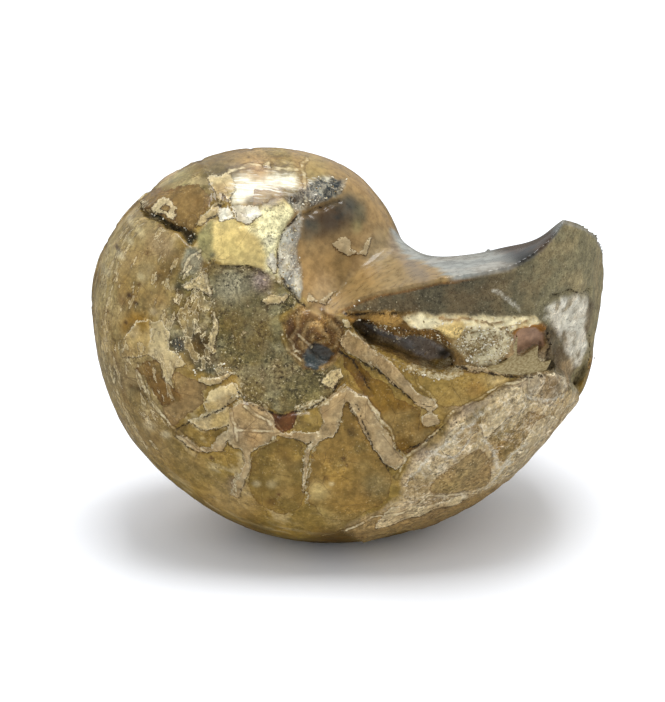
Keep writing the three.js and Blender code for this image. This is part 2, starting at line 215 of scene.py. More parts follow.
CRACKS = [
    [(-0.5, 21.5), (-4, 19), (-5.5, 15.5), (-5.5, 11.5), (-4.5, 8.5), (-2.5, 5.5), (-0.5, 4)],
    [(-27.5, -21), (-24.5, -18.5), (-20.5, -16.5), (-18, -15), (-16.5, -13)],
    [(27, -6.2), (29.5, -6.8), (33, -7.7), (36.5, -8.6), (42, -10), (44.5, -10.6), (48, -10.8)],
    [(6, -4.5), (8, -7), (10, -10), (11.5, -12.5)],
    [(-20, 14), (-17.5, 13), (-14, 12.5), (-13, 13), (-10, 12), (-8.5, 10.5)],
    [(-15.5, -11), (-14, -14), (-10, -16.5), (-6, -17), (-1, -16.5), (2.5, -14), (6, -11)],
    [(15.5, -24), (17.5, -25.5), (20.5, -24), (23.5, -22), (25.5, -19.5)],
    [(8, -14.5), (9.5, -18.5), (11, -22.5), (14, -28.5), (15.5, -31)],
    [(6, -5), (9, -6.5), (12.5, -8), (15.5, -10), (18.5, -13), (23.5, -15)],
    [(-1, 21), (3, 22), (9, 23)],
    [(-18.5, 24), (-16.5, 24), (-18, 22.5), (-20, 21.5)],
    [(-15, 26), (-14, 23.5), (-13, 21)],
    [(7, 3), (10, 3), (12, 3.8), (17, 4.3)],
    [(48.5, 6), (51.5, 5.8), (53.5, 6), (56.5, 4), (59.5, 3.8)],
    [(60.8, -7), (61.5, -12), (62, -17)],
    [(48.2, -1.8), (49, -5), (48.5, -8)],
]
OVERHANGS = [
    [(24.5, 4.4), (27.5, 3.9), (30, 3.8), (32.5, 2.9), (35, 2.4), (37, 2.4)],
    [(37, 1), (38.5, 1), (41, 1.5), (42.5, 1.9)],
]
EDGES = [
    [(-35.5, -8.5), (-34, -11.5), (-32.5, -15.5), (-30.5, -18), (-28, -21), (-25, -23), (-22.5, -25.5)],
    [(-10.5, -15), (-8.5, -18), (-7, -20)],
    [(-4.5, -20), (-3, -17), (-0.5, -16)],
    [(15, -41.5), (20.5, -39.5), (23.5, -36.5), (27, -37.5), (35.5, -38.5)],
    [(2.5, -47), (8, -44), (12, -41), (17.5, -40.5), (21.5, -41)],
    [(-25.5, 12), (-24, 14.5), (-21.5, 16)],
    [(-14, 30), (-9.5, 31), (-6.5, 30.5), (-1, 29.5), (1, 29.5), (3, 31)],
    [(1, 29.5), (1.5, 28), (1, 26.5)],
    [(-21, 11.5), (-20.5, 10), (-20, 7.5)],
    [(-19.5, 4), (-19, 2), (-19.5, 0), (-20, -2.5)],
    [(10.5, -14), (13.5, -18), (15, -20), (15.5, -23.5), (17.5, -26)],
    [(-17, -15.5), (-16.5, -20), (-16, -22.5)],
    [(-6.3, -0.2), (-4.8, -3.8), (-1.9, -6.7)],
    [(-4.8, -0.8), (-3.3, -3.8), (-1.2, -5.5)],
    [(-2.4, -0.8), (-1.2, -3.2), (0.5, -4.1)],
    [(-16.5, -20), (-13, -20.3), (-8.5, -20.3)],
    [(-14, -15), (-11.5, -17.5), (-9.5, -18.5), (-8, -20)],
    [(19, -7.5), (20, -10), (22, -11.5), (23.5, -13.5)],
    [(16, -31.5), (18, -26.5), (21.5, -24), (25, -19.5), (27, -16.5), (32, -14), (36.5, -11.5), (43.5, -10)],
]
VEINS = [
    [(35.5, 9.5), (38.5, 7.5), (41, 4.5)],
    [(47, 1.5), (51.5, 0.5), (55.5, 1.5), (58, 2)],
    [(52, -0.5), (54.5, -5.5), (57.5, -12.5)],
    [(56, 0.5), (58, -4.5), (57.5, -9)],
    [(19.5, -30.5), (22.5, -26.5), (25.5, -23.5), (29.5, -20), (33.5, -17)],
    [(34, -23), (37, -27.5), (39, -32), (42, -31)],
    [(22.5, -25.5), (28, -27), (31, -23.5)],
    [(43, -14.5), (48, -17), (53, -17.5)],
    [(37.5, -37.5), (40, -32.5), (41.5, -28.5), (45, -27)],
]
BARE = [(-0.5, 23.7), (-3.4, 20.1), (-4.6, 16.3), (-3.7, 11.2), (-1.5, 7), (0.8, 4.8), (8, 6), (30, 36),
        (18, 30), (9, 27)]
WALL = [(3, 3.2), (8, 3.6), (12, 4.2), (16.5, 4.4), (20.5, 4.9), (27, 4.4), (37, 3.4), (44.5, 2.5),
        (47.5, -0.3), (49.5, -5.2), (50.5, -10), (53, -14), (58, -19.5), (60.6, -15.5), (61, -13), (80, -13),
        (80, 60), (24, 28)]
LEDGE = [(6.8, 3.4), (12, 4.3), (16.5, 4.5), (20.5, 5), (27, 4.5), (37, 3.5), (44.5, 2.6), (47.5, -0.3),
         (49.5, -5.2), (50, -10.5), (42, -9.7), (36, -8.2), (29, -7), (20.6, -6.6), (15, -4.6), (10.5, -2.4)]
HOLLOW = [(8, 1.8), (11, 0.8), (14, -1.2), (17, -1.8), (20, -1), (24, -1.5), (27, -3.2), (28.3, -5.5),
          (26.5, -7), (21.5, -6.2), (16, -4), (12, -2.6), (9.8, -0.8)]
SLATE = [(11, -0.2), (13, -1.7), (15.5, -2.7), (19, -4.6), (22.5, -6), (26.5, -6.7), (27.8, -5.5), (26, -3.5),
         (23.5, -1.9), (21.5, -1.2), (18.5, -0.8), (16, -0.5), (14, 0)]
RECESS_LINTEL = [(39.3, -0.8), (40.2, 0.6), (43, 1), (46, 0.6), (48.3, -1.5), (47.4, -2.3), (45.5, -0.7),
                 (42, -0.2), (40.5, -1.2)]
RECESS = [(40, -0.5), (41.3, 0.5), (46, 0), (48, -2), (47.6, -5), (46, -6.3), (41.5, -6.5), (40, -4)]
BOULDER = [(11, 2), (12, 3.5), (14, 4.7), (15.5, 4.7), (17, 4), (17.5, 2.5), (16.5, 1.5), (13.5, 1.3)]
BROWN_LUMPS = [(8.5, 2.5), (11.5, 2), (13.5, 1.5), (16.5, 1.5), (17.5, 2.5), (19, 2), (21, 1.5), (24, 1.5),
               (25.5, 0.5), (27, -2.5), (24, -1.2), (20, -0.8), (17, -1.4), (14, -1), (10, 0.8)]
GOLD_LUMP = [(23.5, 2), (24.5, 3), (27.5, 3.8), (29, 3), (29.5, 1.5), (28, 0), (26, 0.5), (24, 1.5)]
CRYSTAL_BED = [(29.5, 2), (32.5, 2), (35, 1.5), (38.5, 0.5), (39.7, -1), (39, -3), (38.5, -5), (37, -6.5),
               (33, -6.3), (30.5, -5.5), (28.7, -3.5), (27, -2), (27.5, -0.5), (29, 0.5)]
CREST = [(17.5, 3.5), (20.5, 4.9), (27, 4.5), (37, 3.5), (44.5, 2.6), (46, 1), (43.5, 0.6), (40.5, 0.5),
         (38.5, 0), (34.5, 0.8), (30.5, 1.4), (28, 2.8), (24.5, 2.7), (23.5, 1.5), (21, 1.4), (19, 2)]
SPLINTER = [(34, -7), (37.5, -6.5), (38.5, -6), (39.5, -4.3), (40, -3), (41.2, -1.6), (41.1, -3.5),
            (41, -5.7), (42.5, -6), (44.3, -5.3), (46.2, -4.6), (46, -6), (46.2, -8), (47.6, -8.4),
            (49.3, -8.2), (48, -10), (46, -10.6), (42, -9.8), (37.5, -8.6)]
GROOVE = [(-33.5, 23), (-32.5, 21.5), (-31.5, 21), (-28, 20.3), (-26, 19.3), (-24, 17.5), (-23.5, 16.5),
          (-22, 18.3), (-23, 19.5), (-26, 20.8), (-29.5, 21.8), (-32, 22), (-32, 23)]
UPPER_LAYER = [(-36, 24), (-32, 22.2), (-29.5, 21.8), (-26, 20.8), (-22.6, 18.8), (-22, 21), (-18, 25),
               (-18, 30), (-27, 30), (-36, 27)]
FAN = [
    [(-9.5, 6.5), (-8, 7), (-5, 7.5), (-3.5, 5.5), (-5.5, 4.5), (-6.5, 2.5), (-8.5, 4.5)],
    [(-8, 3), (-6.5, 2.5), (-5.5, 0), (-7, -1.5), (-8.5, 0)],
]
LIME = [
    [(-17, -12), (-15, -14), (-17, -15.5)],
    [(-1, -24), (-1.5, -29), (-2, -33.5), (-1.5, -37)],
    [(-15.5, -30), (-16, -34), (-17, -36)],
    [(19, -6.6), (22, -7.6), (26, -7.8), (28.5, -7)],
    [(2, -14.5), (-3, -16.5)],
]
LEFT_FLANK = [(-46, -30), (-30, -30), (-27, -8), (-26, 8), (-26, 20), (-34, 30), (-46, 24)]
TOP = [(-34, 22), (-20, 24), (-10, 26), (4, 26), (14, 24), (18, 34), (-10, 40), (-34, 36)]
# Soft stains, and some blots of painted shade: x, z, reach, colour, strength.
STAINS_AND_SHADE = [
    (-16, 31, 3.5, (122, 108, 78), 0.85), (-12, 31, 2, (126, 112, 82), 0.7),
    (-24, 27.8, 3, (170, 160, 114), 0.6), (-8, 31.5, 3.5, (180, 150, 106), 0.6),
    (4, 29, 3, (166, 150, 98), 0.6), (-8, 29.8, 1.5, (186, 152, 108), 0.7),
    (-5.5, 25.5, 2, (150, 124, 82), 0.7), (-40, 13, 3, (184, 168, 120), 0.5),
    (-40, 3, 3, (182, 164, 116), 0.5), (-33.5, 12.5, 3, (166, 144, 98), 0.6),
    (-29, 17, 2.5, (164, 146, 112), 0.7), (-32, 19, 2, (160, 142, 100), 0.6),
    (-29.5, 11.5, 1.6, (116, 92, 52), 0.7), (-35.5, 8, 3, (150, 124, 68), 0.6),
    (-31, 6, 2.2, (158, 132, 84), 0.6), (-34.5, 1.5, 2.2, (150, 112, 34), 0.95),
    (-36.5, 0, 1.5, (140, 108, 44), 0.7), (-37.5, 5, 1, (104, 80, 44), 0.7),
    (-37.5, 14.5, 0.45, (70, 50, 24), 0.95), (-29, 20, 0.4, (84, 60, 34), 0.9),
    (-36, 6.5, 0.6, (48, 38, 26), 0.95), (-34.7, 5.2, 0.5, (52, 42, 30), 0.95),
    (-37, 1, 0.4, (60, 46, 26), 0.9), (-40.5, 2, 0.5, (88, 68, 42), 0.8), (-32, 15, 0.35, (90, 66, 38), 0.8),
    (-34, 9, 0.4, (84, 62, 34), 0.8), (-33, 18.5, 0.8, (206, 190, 142), 0.8),
    (-35, 16.5, 0.6, (206, 192, 150), 0.7), (-37, 13.6, 0.7, (212, 200, 160), 0.8),
    (-33.5, 10.5, 0.7, (198, 182, 136), 0.8), (-31.5, 4, 0.7, (190, 172, 132), 0.7),
    (-40, 9.5, 0.8, (204, 192, 154), 0.6), (-34.5, 19.5, 0.6, (204, 188, 144), 0.7),
    (-38.5, -10.5, 4, (138, 124, 92), 0.6), (-33, -24, 6, (138, 117, 74), 0.7),
    (-27, -31, 5, (140, 116, 70), 0.6), (-35, -12.5, 0.6, (92, 74, 46), 0.8),
    (-36.5, -12.5, 0.5, (98, 80, 52), 0.7), (-21, -27, 0.5, (82, 54, 30), 0.9),
    (-33, -21, 1.2, (184, 170, 132), 0.7), (-32.5, -24.5, 1.4, (112, 92, 54), 0.6),
    (-30, -22.5, 0.9, (196, 184, 148), 0.6), (-23.5, 13.7, 1.8, (146, 142, 116), 0.85),
    (-24.3, 9.3, 1.2, (164, 150, 92), 0.8), (-26.3, 9, 1.0, (74, 70, 52), 0.9),
    (-23.5, 6, 2.2, (112, 98, 54), 0.85), (-27, 2.7, 1.0, (78, 76, 58), 0.85),
    (-27, -2, 1.5, (84, 84, 78), 0.85), (-22.5, -2, 2.4, (78, 62, 28), 0.9),
    (-25, -5, 1.2, (96, 88, 62), 0.7), (-25, 3, 1.5, (136, 118, 62), 0.7),
    (-9.5, 9.5, 2, (150, 136, 130), 0.85), (-15, 8.5, 3.5, (168, 161, 132), 0.85),
    (-17.5, 1, 1.4, (130, 108, 52), 0.6), (-13.5, 3, 4, (104, 94, 58), 0.6),
    (-5.5, -8.5, 3.5, (122, 111, 78), 0.6), (0, -13.5, 1.2, (146, 134, 84), 0.7),
    (-15.5, 17, 3, (226, 203, 130), 0.8), (-7.3, 17.5, 1.2, (232, 226, 190), 0.8),
    (-7.3, 13.5, 0.8, (240, 234, 210), 0.9), (-20.5, 18.5, 1.3, (156, 148, 98), 0.8),
    (-19, 15.3, 0.6, (98, 100, 78), 0.95), (-10.5, 21, 1, (190, 172, 104), 0.6),
    # Painted shade: dark grey blots along the top of the bare inner whorl, under the crust beside the crack.
    (4.5, 19.6, 3.3, (38, 40, 38), 0.95), (8.5, 20.2, 3.2, (40, 42, 40), 0.95),
    (12, 20, 2.6, (74, 72, 60), 0.8), (1, 18, 1.6, (84, 82, 70), 0.7), (2.5, 10.5, 4, (188, 152, 98), 0.85),
    (8.5, 16, 3, (126, 108, 76), 0.6), (4.5, 6.5, 3, (190, 164, 122), 0.85),
    (16, 13, 3.5, (158, 140, 106), 0.8), (12, 18, 1.3, (146, 138, 96), 0.6), (10, 9, 3, (160, 134, 90), 0.7),
    (21, 13.5, 2, (120, 116, 112), 0.6), (9, 3, 0.8, (70, 58, 40), 0.9), (12, -2.2, 1, (62, 52, 36), 0.7),
    (26.5, -5, 1, (44, 38, 30), 0.9), (49.5, -3, 1.4, (84, 76, 58), 0.85), (51, -8, 1.8, (92, 84, 66), 0.8),
    (54.5, -0.8, 2, (236, 230, 210), 0.8), (57.5, -3, 1.6, (226, 221, 200), 0.7),
    (57, -7, 1.4, (206, 200, 178), 0.6), (57.5, 2.3, 1.4, (206, 200, 178), 0.6),
    (49.5, 0.6, 1.1, (206, 200, 180), 0.5), (56, 7.2, 1.2, (190, 176, 132), 0.6),
    (64, -16, 2.5, (134, 98, 52), 0.85), (31, -9.5, 2, (150, 122, 62), 0.7),
    (22, -7.6, 1.2, (214, 202, 162), 0.8), (8, 2.5, 1.2, (160, 120, 60), 0.7),
    (29.5, -14, 2.5, (172, 150, 126), 0.7), (27, -23, 0.7, (196, 158, 70), 0.9),
    (21.5, -25.5, 1.8, (164, 146, 124), 0.7), (38.5, -13, 2, (126, 108, 66), 0.6),
    (42.5, -9, 1.6, (128, 112, 84), 0.7), (47, -7.5, 2, (150, 134, 108), 0.7),
    (55, -12.5, 1.8, (196, 166, 120), 0.7), (33.5, -18, 2.2, (136, 116, 68), 0.7),
    (38.5, -23, 2.4, (150, 126, 72), 0.7), (45.5, -22, 2.4, (140, 122, 92), 0.7),
    (48.5, -17.5, 1.2, (206, 190, 152), 0.7), (29.5, -22.5, 1.6, (220, 208, 182), 0.8),
    (23.5, -22, 1.6, (176, 150, 104), 0.7), (26, -29.5, 1.2, (210, 196, 166), 0.7),
    # Painted shade: more dark grey blots along the top of the bare inner whorl, under the crust beside the
    # crack.
    (1.5, 20, 1.6, (74, 76, 70), 0.9), (10.5, 22, 2, (80, 80, 72), 0.9), (6.5, 20, 2, (58, 59, 55), 0.85),
    (13, 20.5, 1.4, (112, 106, 82), 0.7), (3, 18.5, 1.4, (98, 90, 72), 0.7),
    (-3.5, -0.5, 1.6, (98, 70, 38), 0.8), (-1, 2.5, 1.2, (150, 116, 66), 0.7),
    (2, 1, 1.3, (176, 142, 88), 0.6), (-2, -41.5, 4, (148, 121, 62), 0.6),
    (-16.5, -37.5, 5, (166, 142, 96), 0.7), (5, -48.5, 5, (96, 72, 32), 0.85),
    (-16, -33, 1.6, (150, 128, 108), 0.6), (25.5, -40.5, 4, (130, 111, 80), 0.7),
    (-12, -46, 4, (112, 88, 44), 0.6),
]
WINDOW_STAINS = [
    (0.5, -34, 2.2, (210, 186, 122), 0.85), (1, -40, 2, (178, 154, 92), 0.7),
    (12.5, -33, 3, (138, 122, 80), 0.85), (7, -20.5, 1.2, (82, 66, 34), 0.8),
    (9, -24, 1.4, (110, 96, 56), 0.7), (4, -30, 3, (176, 142, 70), 0.6), (-5, -26, 2.5, (120, 94, 48), 0.7),
    (-6.5, -34, 2, (132, 106, 56), 0.5), (-9, -37, 1.2, (108, 80, 40), 0.6),
    (-9, -32.5, 0.9, (206, 184, 130), 0.8), (-12, -32.6, 0.7, (204, 186, 140), 0.8),
    (-4.3, -25.5, 1.2, (176, 146, 76), 0.7), (5.5, -26.5, 0.5, (84, 56, 26), 0.85),
    (6.2, -28, 0.4, (84, 56, 26), 0.85), (2, -31, 0.6, (90, 66, 32), 0.7),
    (-7.5, -35, 0.4, (86, 54, 26), 0.9), (3.2, -32.4, 0.5, (210, 190, 140), 0.8),
    (-3, -44, 0.5, (84, 62, 34), 0.7), (13, -13, 2.5, (150, 118, 54), 0.7),
    (17.5, -19, 2.5, (146, 118, 66), 0.7), (21.5, -22.5, 2, (152, 126, 78), 0.7),
    (24, -10.5, 2, (176, 146, 76), 0.7), (32, -11.5, 2, (158, 120, 62), 0.6),
    (36.5, -9.3, 2, (208, 182, 124), 0.85), (9.5, -9.5, 1, (90, 62, 26), 0.7),
    (27, -36, 1.5, (128, 108, 70), 0.6), (33, -29, 2, (152, 130, 88), 0.6),
]
FLAKE_STAINS = [
    (-14, -16.8, 1.5, (178, 152, 104), 0.8), (-12.2, -21.6, 1.5, (196, 162, 110), 0.8),
    (-9, -18.6, 1, (178, 158, 124), 0.6), (-16, -20.5, 1.2, (176, 156, 126), 0.6),
    (9, -1.5, 2, (146, 124, 84), 0.8), (13, -5.5, 1.8, (152, 130, 92), 0.6),
    (18, -10, 1.4, (176, 154, 118), 0.5), (10.5, -17, 1.5, (160, 138, 100), 0.5),
    (14, -26, 1.8, (178, 158, 122), 0.5), (-34.5, 1.5, 2, (158, 122, 38), 0.9),
]
# The broken ledge, piece by piece.
LEDGE_PARTS = [
    # The crest: its own cream, painted as light as the highlight where light from above catches the ledge's
    # top.
    (BROWN_LUMPS, (116, 88, 48)), (BOULDER, (172, 136, 76)), (CREST, (255, 242, 196)),
    (GOLD_LUMP, (226, 198, 130)), (CRYSTAL_BED, (226, 216, 178)),
]
DARK_CRYSTALS = [
    [(-24.5, -7.5), (-21, -6.2), (-16.5, -7), (-15.5, -8.5), (-20.5, -8.5), (-23.5, -9)],
    [(-17.5, -12), (-14.5, -11), (-13, -14.5), (-16, -15), (-17, -14)],
    [(-28.5, 0), (-26.5, 0), (-25.5, -3.5), (-28, -5)],
    [(16, -5.4), (20, -7), (24, -8), (27, -7.2), (24, -8.8), (19.5, -8.2), (16.5, -6.6)],
]


# The last septum, as the solid has it: its height along the near edge, then along the rim round the venter.
SEPTUM = [
    (-4, 3), (1, 4.2), (4.5, 4.8), (8, 6.4), (12.5, 9), (17.5, 10.8), (24, 13), (32, 13.8), (38.6, 14.4),
    (43, 16.2), (46, 18), (48.4, 20.2), (50.2, 22.4), (53, 21.4), (57, 20), (62.5, 18), (67, 14.5), (72, 9),
    (84, -6),
]


# ---- Sums on many points at once -------------------------------------------------------------------------
def step(value, low, high):
    """0 up to low and 1 from high on, eased between them; high may be the lower one."""
    t = np.clip((value - low) / (high - low), 0, 1)
    return t * t * (3 - 2 * t)


def chance(cells, seed):
    """A repeatable number from 0 to 1 for each cell of a lattice."""
    n = (cells[..., 0] * 73856093) ^ (cells[..., 1] * 19349663) ^ (cells[..., 2] * 83492791) ^ (seed * 6542989)
    n = (n ^ (n >> 15)) * 2246822519 & 0xFFFFFFFF
    n = (n ^ (n >> 13)) * 3266489917 & 0xFFFFFFFF
    return ((n >> 8) & 0xFFFF) / 65535.0


def noise(points, size, seed):
    """Smooth noise from -1 to 1, with lumps of about that size."""
    lattice = points / size
    cell = np.floor(lattice).astype(np.int64)
    part = lattice - cell
    part = part * part * (3 - 2 * part)
    total = 0
    for corner in np.ndindex(2, 2, 2):
        share = np.prod(np.where(corner, part, 1 - part), axis=1)
        total = total + share * chance(cell + np.array(corner), seed)
    return 2 * total - 1


def fractal(points, size, seed, octaves=4):
    """Noise with finer and fainter noise on it."""
    total = sum(noise(points, size / 2**k, seed + k) / 2**k for k in range(octaves))
    return total / (2 - 0.5 ** (octaves - 1))


def patches(points, size, seed, low, high, octaves=4):
    """0 and 1 in patches: where noise is under low and over high."""
    return step(fractal(points, size, seed, octaves), low, high)


def pebbles(points, size, seed):
    """How far the nearest and second nearest of scattered seeds are, in sizes, and the nearest's number."""
    lattice = points / size
    cell = np.floor(lattice).astype(np.int64)
    first = np.full(len(points), 9.0)
    second = first.copy()
    name = np.zeros(len(points))
    for offset in np.ndindex(3, 3, 3):
        near = cell + np.array(offset) - 1
        spot = near + np.stack([chance(near, seed + k) for k in range(3)], axis=1)
        gap = np.linalg.norm(lattice - spot, axis=1)
        nearer = gap < first
        second = np.where(nearer, first, np.minimum(second, gap))
        name = np.where(nearer, chance(near, seed + 7), name)
        first = np.where(nearer, gap, first)
    return first, second, name


FAR_AWAY = 9.0  # a distance of this or more isn't measured


def from_line(x, z, line, closed=False):
    """Distance to a line, in mm; with closed, to an outline, and negative inside it."""
    line = np.array(line, float)
    low, high = line.min(axis=0) - 4, line.max(axis=0) + 4
    near = np.flatnonzero((x > low[0]) & (x < high[0]) & (z > low[1]) & (z < high[1]))
    result = np.full(x.shape, FAR_AWAY)
    px, pz = x[near], z[near]
    best = np.full(px.shape, FAR_AWAY**2)
    inside = np.zeros(px.shape, bool)
    ends = np.roll(line, -1, axis=0) if closed else line[1:]
    for (ax, az), (bx, bz) in zip(line, ends):
        ex, ez = bx - ax, bz - az
        t = np.clip(((px - ax) * ex + (pz - az) * ez) / (ex * ex + ez * ez), 0, 1)
        best = np.minimum(best, (px - ax - t * ex) ** 2 + (pz - az - t * ez) ** 2)
        if closed and az != bz:
            crosses = (az > pz) != (bz > pz)
            inside ^= crosses & (px - ax < ex * (pz - az) / ez)
    best = np.sqrt(best)
    result[near] = np.where(inside, -best, best)
    return result


class Places:
    """The stone's points in the coil's frame, in mm, and how far they are from places on the near flank."""

    def __init__(self, points):
        self.points = to_coil(points)
        self.x, self.y, self.z = self.points.T
        self.near = step(self.y, 2.5, -1.5)
        wander = np.stack([fractal(self.points, 3.2, seed, 3) for seed in (11, 31)])
        shiver = np.stack([fractal(self.points, 0.9, seed, 2) for seed in (51, 61)])
        self.warped = np.stack([self.x, self.z]) + 0.75 * wander + 0.28 * shiver
        self.over = self.z - septum_height(self.x, self.y)
        self.known = {}

    def outline(self, outlines, lift=0.0):
        """Distance to the nearest of some ragged outlines, negative inside it; large on the far flank."""
        key = lift, *(id(outline) for outline in outlines)
        if key not in self.known:
            nearest = np.full(self.x.shape, FAR_AWAY)
            for outline in outlines:
                gap = from_line(self.warped[0], self.warped[1] + lift, outline, closed=True)
                nearest = np.minimum(nearest, gap)
            self.known[key] = nearest + (1 - self.near) * FAR_AWAY
        return self.known[key]

    def line(self, lines):
        """Distance to the nearest of some ragged lines."""
        nearest = np.full(self.x.shape, FAR_AWAY)
        for line in lines:
            nearest = np.minimum(nearest, from_line(*self.warped, line))
        return nearest + (1 - self.near) * FAR_AWAY

    def within(self, outlines, soft=0.4):
        """1 inside the outlines and 0 outside, eased over soft mm each way."""
        return step(self.outline(outlines), soft, -soft)

    @property
    def hollow_face(self):
        """1 on the last septum's hollow face, and on the shell of the whorl inside that runs out over it."""
        return step(abs(self.over), 1.6, 0.7) * step(self.x, -1, 1)

    @property
    def past_shell(self):
        """1 where the shell of the whorl inside has run out, away from its flank."""
        streaks = 1.6 * fractal(self.points * (0.35, 1, 0.35), 2.2, 17, 3)
        return step(self.x + 0.22 * (self.y + 25) + streaks, 22.2, 24.6)

    @property
    def dish(self):
        """1 on the bare stone of the last septum's hollow face."""
        return self.hollow_face * self.past_shell

    @property
    def bare(self):
        """1 on the whorl inside, where it stands out of the last septum."""
        above = step(self.over, 0.7, 1.6) * step(self.x, -1, 1)
        above = np.maximum(above, self.hollow_face * (1 - self.past_shell))
        return np.maximum(above, self.within([BARE]) * (self.x < 20))

    @property
    def wall(self):
        """1 on the broken rock face under the septum's near rim."""
        inside = step(from_line(*self.warped, WALL, closed=True), 0.5, -0.3)
        return inside * step(self.y, 12.5, 11) * (1 - self.hollow_face) * (1 - self.bare)


def to_coil(points):
    """From metres in the object's frame to millimetres in the coil's."""
    p = points / MM - COIL_AXIS
    c, s = math.cos(TURN), math.sin(TURN)
    x, y, z = c * p[:, 0] + s * p[:, 1], c * p[:, 1] - s * p[:, 0], p[:, 2]
    c, s = math.cos(LEAN), math.sin(LEAN)
    return np.stack([x, c * y - s * z, s * y + c * z], axis=1)


# How the last septum rises and falls, in mm, as the solid has it.
SEPTUM_FALL = 18  # how much lower it is at the far flank than at the near one
RIM_FALL = 4.5  # and how much more its rim falls, round the venter
RIM_BULGE = 3.5  # how much further out its rim is at the venter than at the flanks
FILLET = 2.5  # how far it climbs where it meets the whorl inside, at the near flank
FAR_FILLET = 7  # and how much further it climbs round the back of that whorl


def septum_height(x, y):
    """How high the last septum's face is above the coil axis."""
    line = np.array(SEPTUM, float)
    bulge = RIM_BULGE * np.maximum(1 - ((y + 2) / 36) ** 2, 0) * step(x, 34, 50)
    x = x - bulge
    climb = FILLET * step(x, 3, 15) * (1 - step(x, 20, 30)) * np.clip((40 - abs(y)) / 23, 0, 1) ** 2
    climb += FAR_FILLET * step(x, 3, 15) * (1 - step(x, 18, 30)) * step(y, -18, -6) * (1 - step(y, 24, 36))
    rim_fall = RIM_FALL * step(y, -33, -10) * step(x, 41, 49)
    return np.interp(x, *line.T) + climb - SEPTUM_FALL / 2 * (1 + np.tanh((y + 1) / 17)) - rim_fall


# ---- The relief ------------------------------------------------------------------------------------------
class Skin:
    """A mesh's points and edges as arrays, for smoothing and pushing it about."""

    def __init__(self, mesh):
        self.points = np.empty(len(mesh.vertices) * 3)
        mesh.vertices.foreach_get("co", self.points)
        self.points = self.points.reshape(-1, 3)
        ends = np.empty(len(mesh.edges) * 2, np.int64)
        mesh.edges.foreach_get("vertices", ends)
        self.a, self.b = ends.reshape(-1, 2).T
        self.count = len(self.points)
        self.degree = np.bincount(ends, minlength=self.count)

    def neighbours(self, values):
        """The mean of each point's neighbours' values."""
        if values.ndim == 2:
            return np.stack([self.neighbours(column) for column in values.T], axis=1)
        total = np.bincount(self.a, values[self.b], self.count)
        total += np.bincount(self.b, values[self.a], self.count)
        return total / self.degree

    def soften(self, rounds, share):
        """Smooths the surface; share is how much, 0 to 1, for each point."""
        for _ in range(rounds):
            self.points += 0.5 * share[:, None] * (self.neighbours(self.points) - self.points)


# Layers of shell that stand out of the stone, and how thick each is, in mm.
RAISED = [
    (BEIGE, 0.45), (CREAM, 0.35), (GOLD, 0.3), (NET, 0.25), (FLAKE_ON_BARE, 0.2), (FAN, 0.3),
    ([UPPER_LAYER], 0.6), (BAND_PLATES, 0.25),
]
FINEST_CRACK = 0.08  # what the width of a crack, in mm, can't go under


def relief(at):
    """How far each point of the surface stands out, in mm."""
    p = at.points
    face, bare, wall = at.hollow_face, at.bare, at.wall
    calm = np.maximum(face, 0.7 * bare)
    out = 0.22 * fractal(p, 9, 1) * (1 - face)
    out += 0.1 * fractal(p, 2.4, 5, 3) * (1 - calm)
    # Thin layers of shell still on, and the stone that shows between them.
    for outlines, thickness in RAISED:
        out += thickness * step(at.outline(outlines), 0.3, -0.15)
    out += 0.6 * step(at.outline(BAND), 0.4, -0.3) + 0.25 * step(at.outline(YELLOW), 0.3, -0.2)
    out -= 0.18 * step(at.outline(NET_HOLES), 0.2, -0.2) + 0.2 * step(at.outline(WIN_BROWN), 0.2, -0.4)
    # Broken and overgrown places.
    lumps, second, _ = pebbles(p, 3.4, 71)
    grains, _, _ = pebbles(p, 1.3, 81)
    below = (1 - face) * step(at.over, 0.5, -0.5)
    ledge = at.within([LEDGE], 0.8) * below
    crust = at.within(CRUST)
    out += crust * (0.9 * (0.6 - lumps) + 0.5 * (0.5 - grains))
    out += ledge * (0.4 * (0.55 - lumps) + 0.3 * fractal(p, 5, 21))
    out += dome(at, BOULDER, 1.0) * below + dome(at, GOLD_LUMP, 0.9) * below
    out += at.within([BROWN_LUMPS], 0.6) * below * (1.1 * (0.5 - lumps) + 0.7 * (0.5 - grains) - 0.3)
    out += at.within([CRYSTAL_BED], 0.8) * below * (0.7 * (0.55 - lumps) + 0.7 * (0.5 - grains))
    crest = at.within([CREST], 0.35) * below
    out += crest * (0.6 + 0.45 * fractal(p, 2.2, 23, 4))
    out -= 0.6 * np.exp(-((at.line(OVERHANGS) / 0.3) ** 2)) * below
    hollow = at.within([HOLLOW], 0.5) * below
    out += hollow * (0.5 * fractal(p * (0.4, 1, 1), 2.2, 24) - 0.6)
    out += wall * (0.35 * fractal(p, 3.5, 25) + 0.2 * (0.5 - grains) * step(at.x, 38, 18))
    out += at.within(NETWORK, 0.8) * below * (0.5 * (second - lumps) - 0.2)
    out += at.within(COLUMN) * 0.45 * fractal(p, 2.2, 27, 3) + at.within(DISC) * 0.14 * fractal(p, 1.4, 29, 3)
    out += at.within(BAND) * 0.25 * fractal(p, 2.6, 33, 3)
    out += lime_of(at) * (0.3 * (0.6 - grains))
    # The knob in the umbilicus is coiled itself.
    coiled = 0.28 * swirl(at) * step(noise(p, 4, 42), -0.5, 0.3)
    out += at.within(KNOB, 0.8) * (coiled + 0.4 * fractal(p, 2, 44, 3))
    # Cracks.
    width = np.maximum(0.3 + 0.3 * noise(p, 2.6, 43), FINEST_CRACK)
    out -= (0.25 + 1.3 * width) * np.exp(-((at.line(CRACKS) / (0.12 + width)) ** 2))
    out -= at.within([GROOVE], 0.3) * (0.7 + 0.6 * grains)
    out -= 0.15 * np.exp(-((at.line(VEINS) / 0.3) ** 2))
    # On the far flank, each old chamber wall is a faint groove.
    out -= 0.25 * np.exp(-((suture(at)[0] / 0.5) ** 2)) * (1 - at.near) * (1 - calm)
    out += 0.3 * step(far_shell(at), 0.35, -0.2) * (1 - at.near) * (1 - calm)
    return out


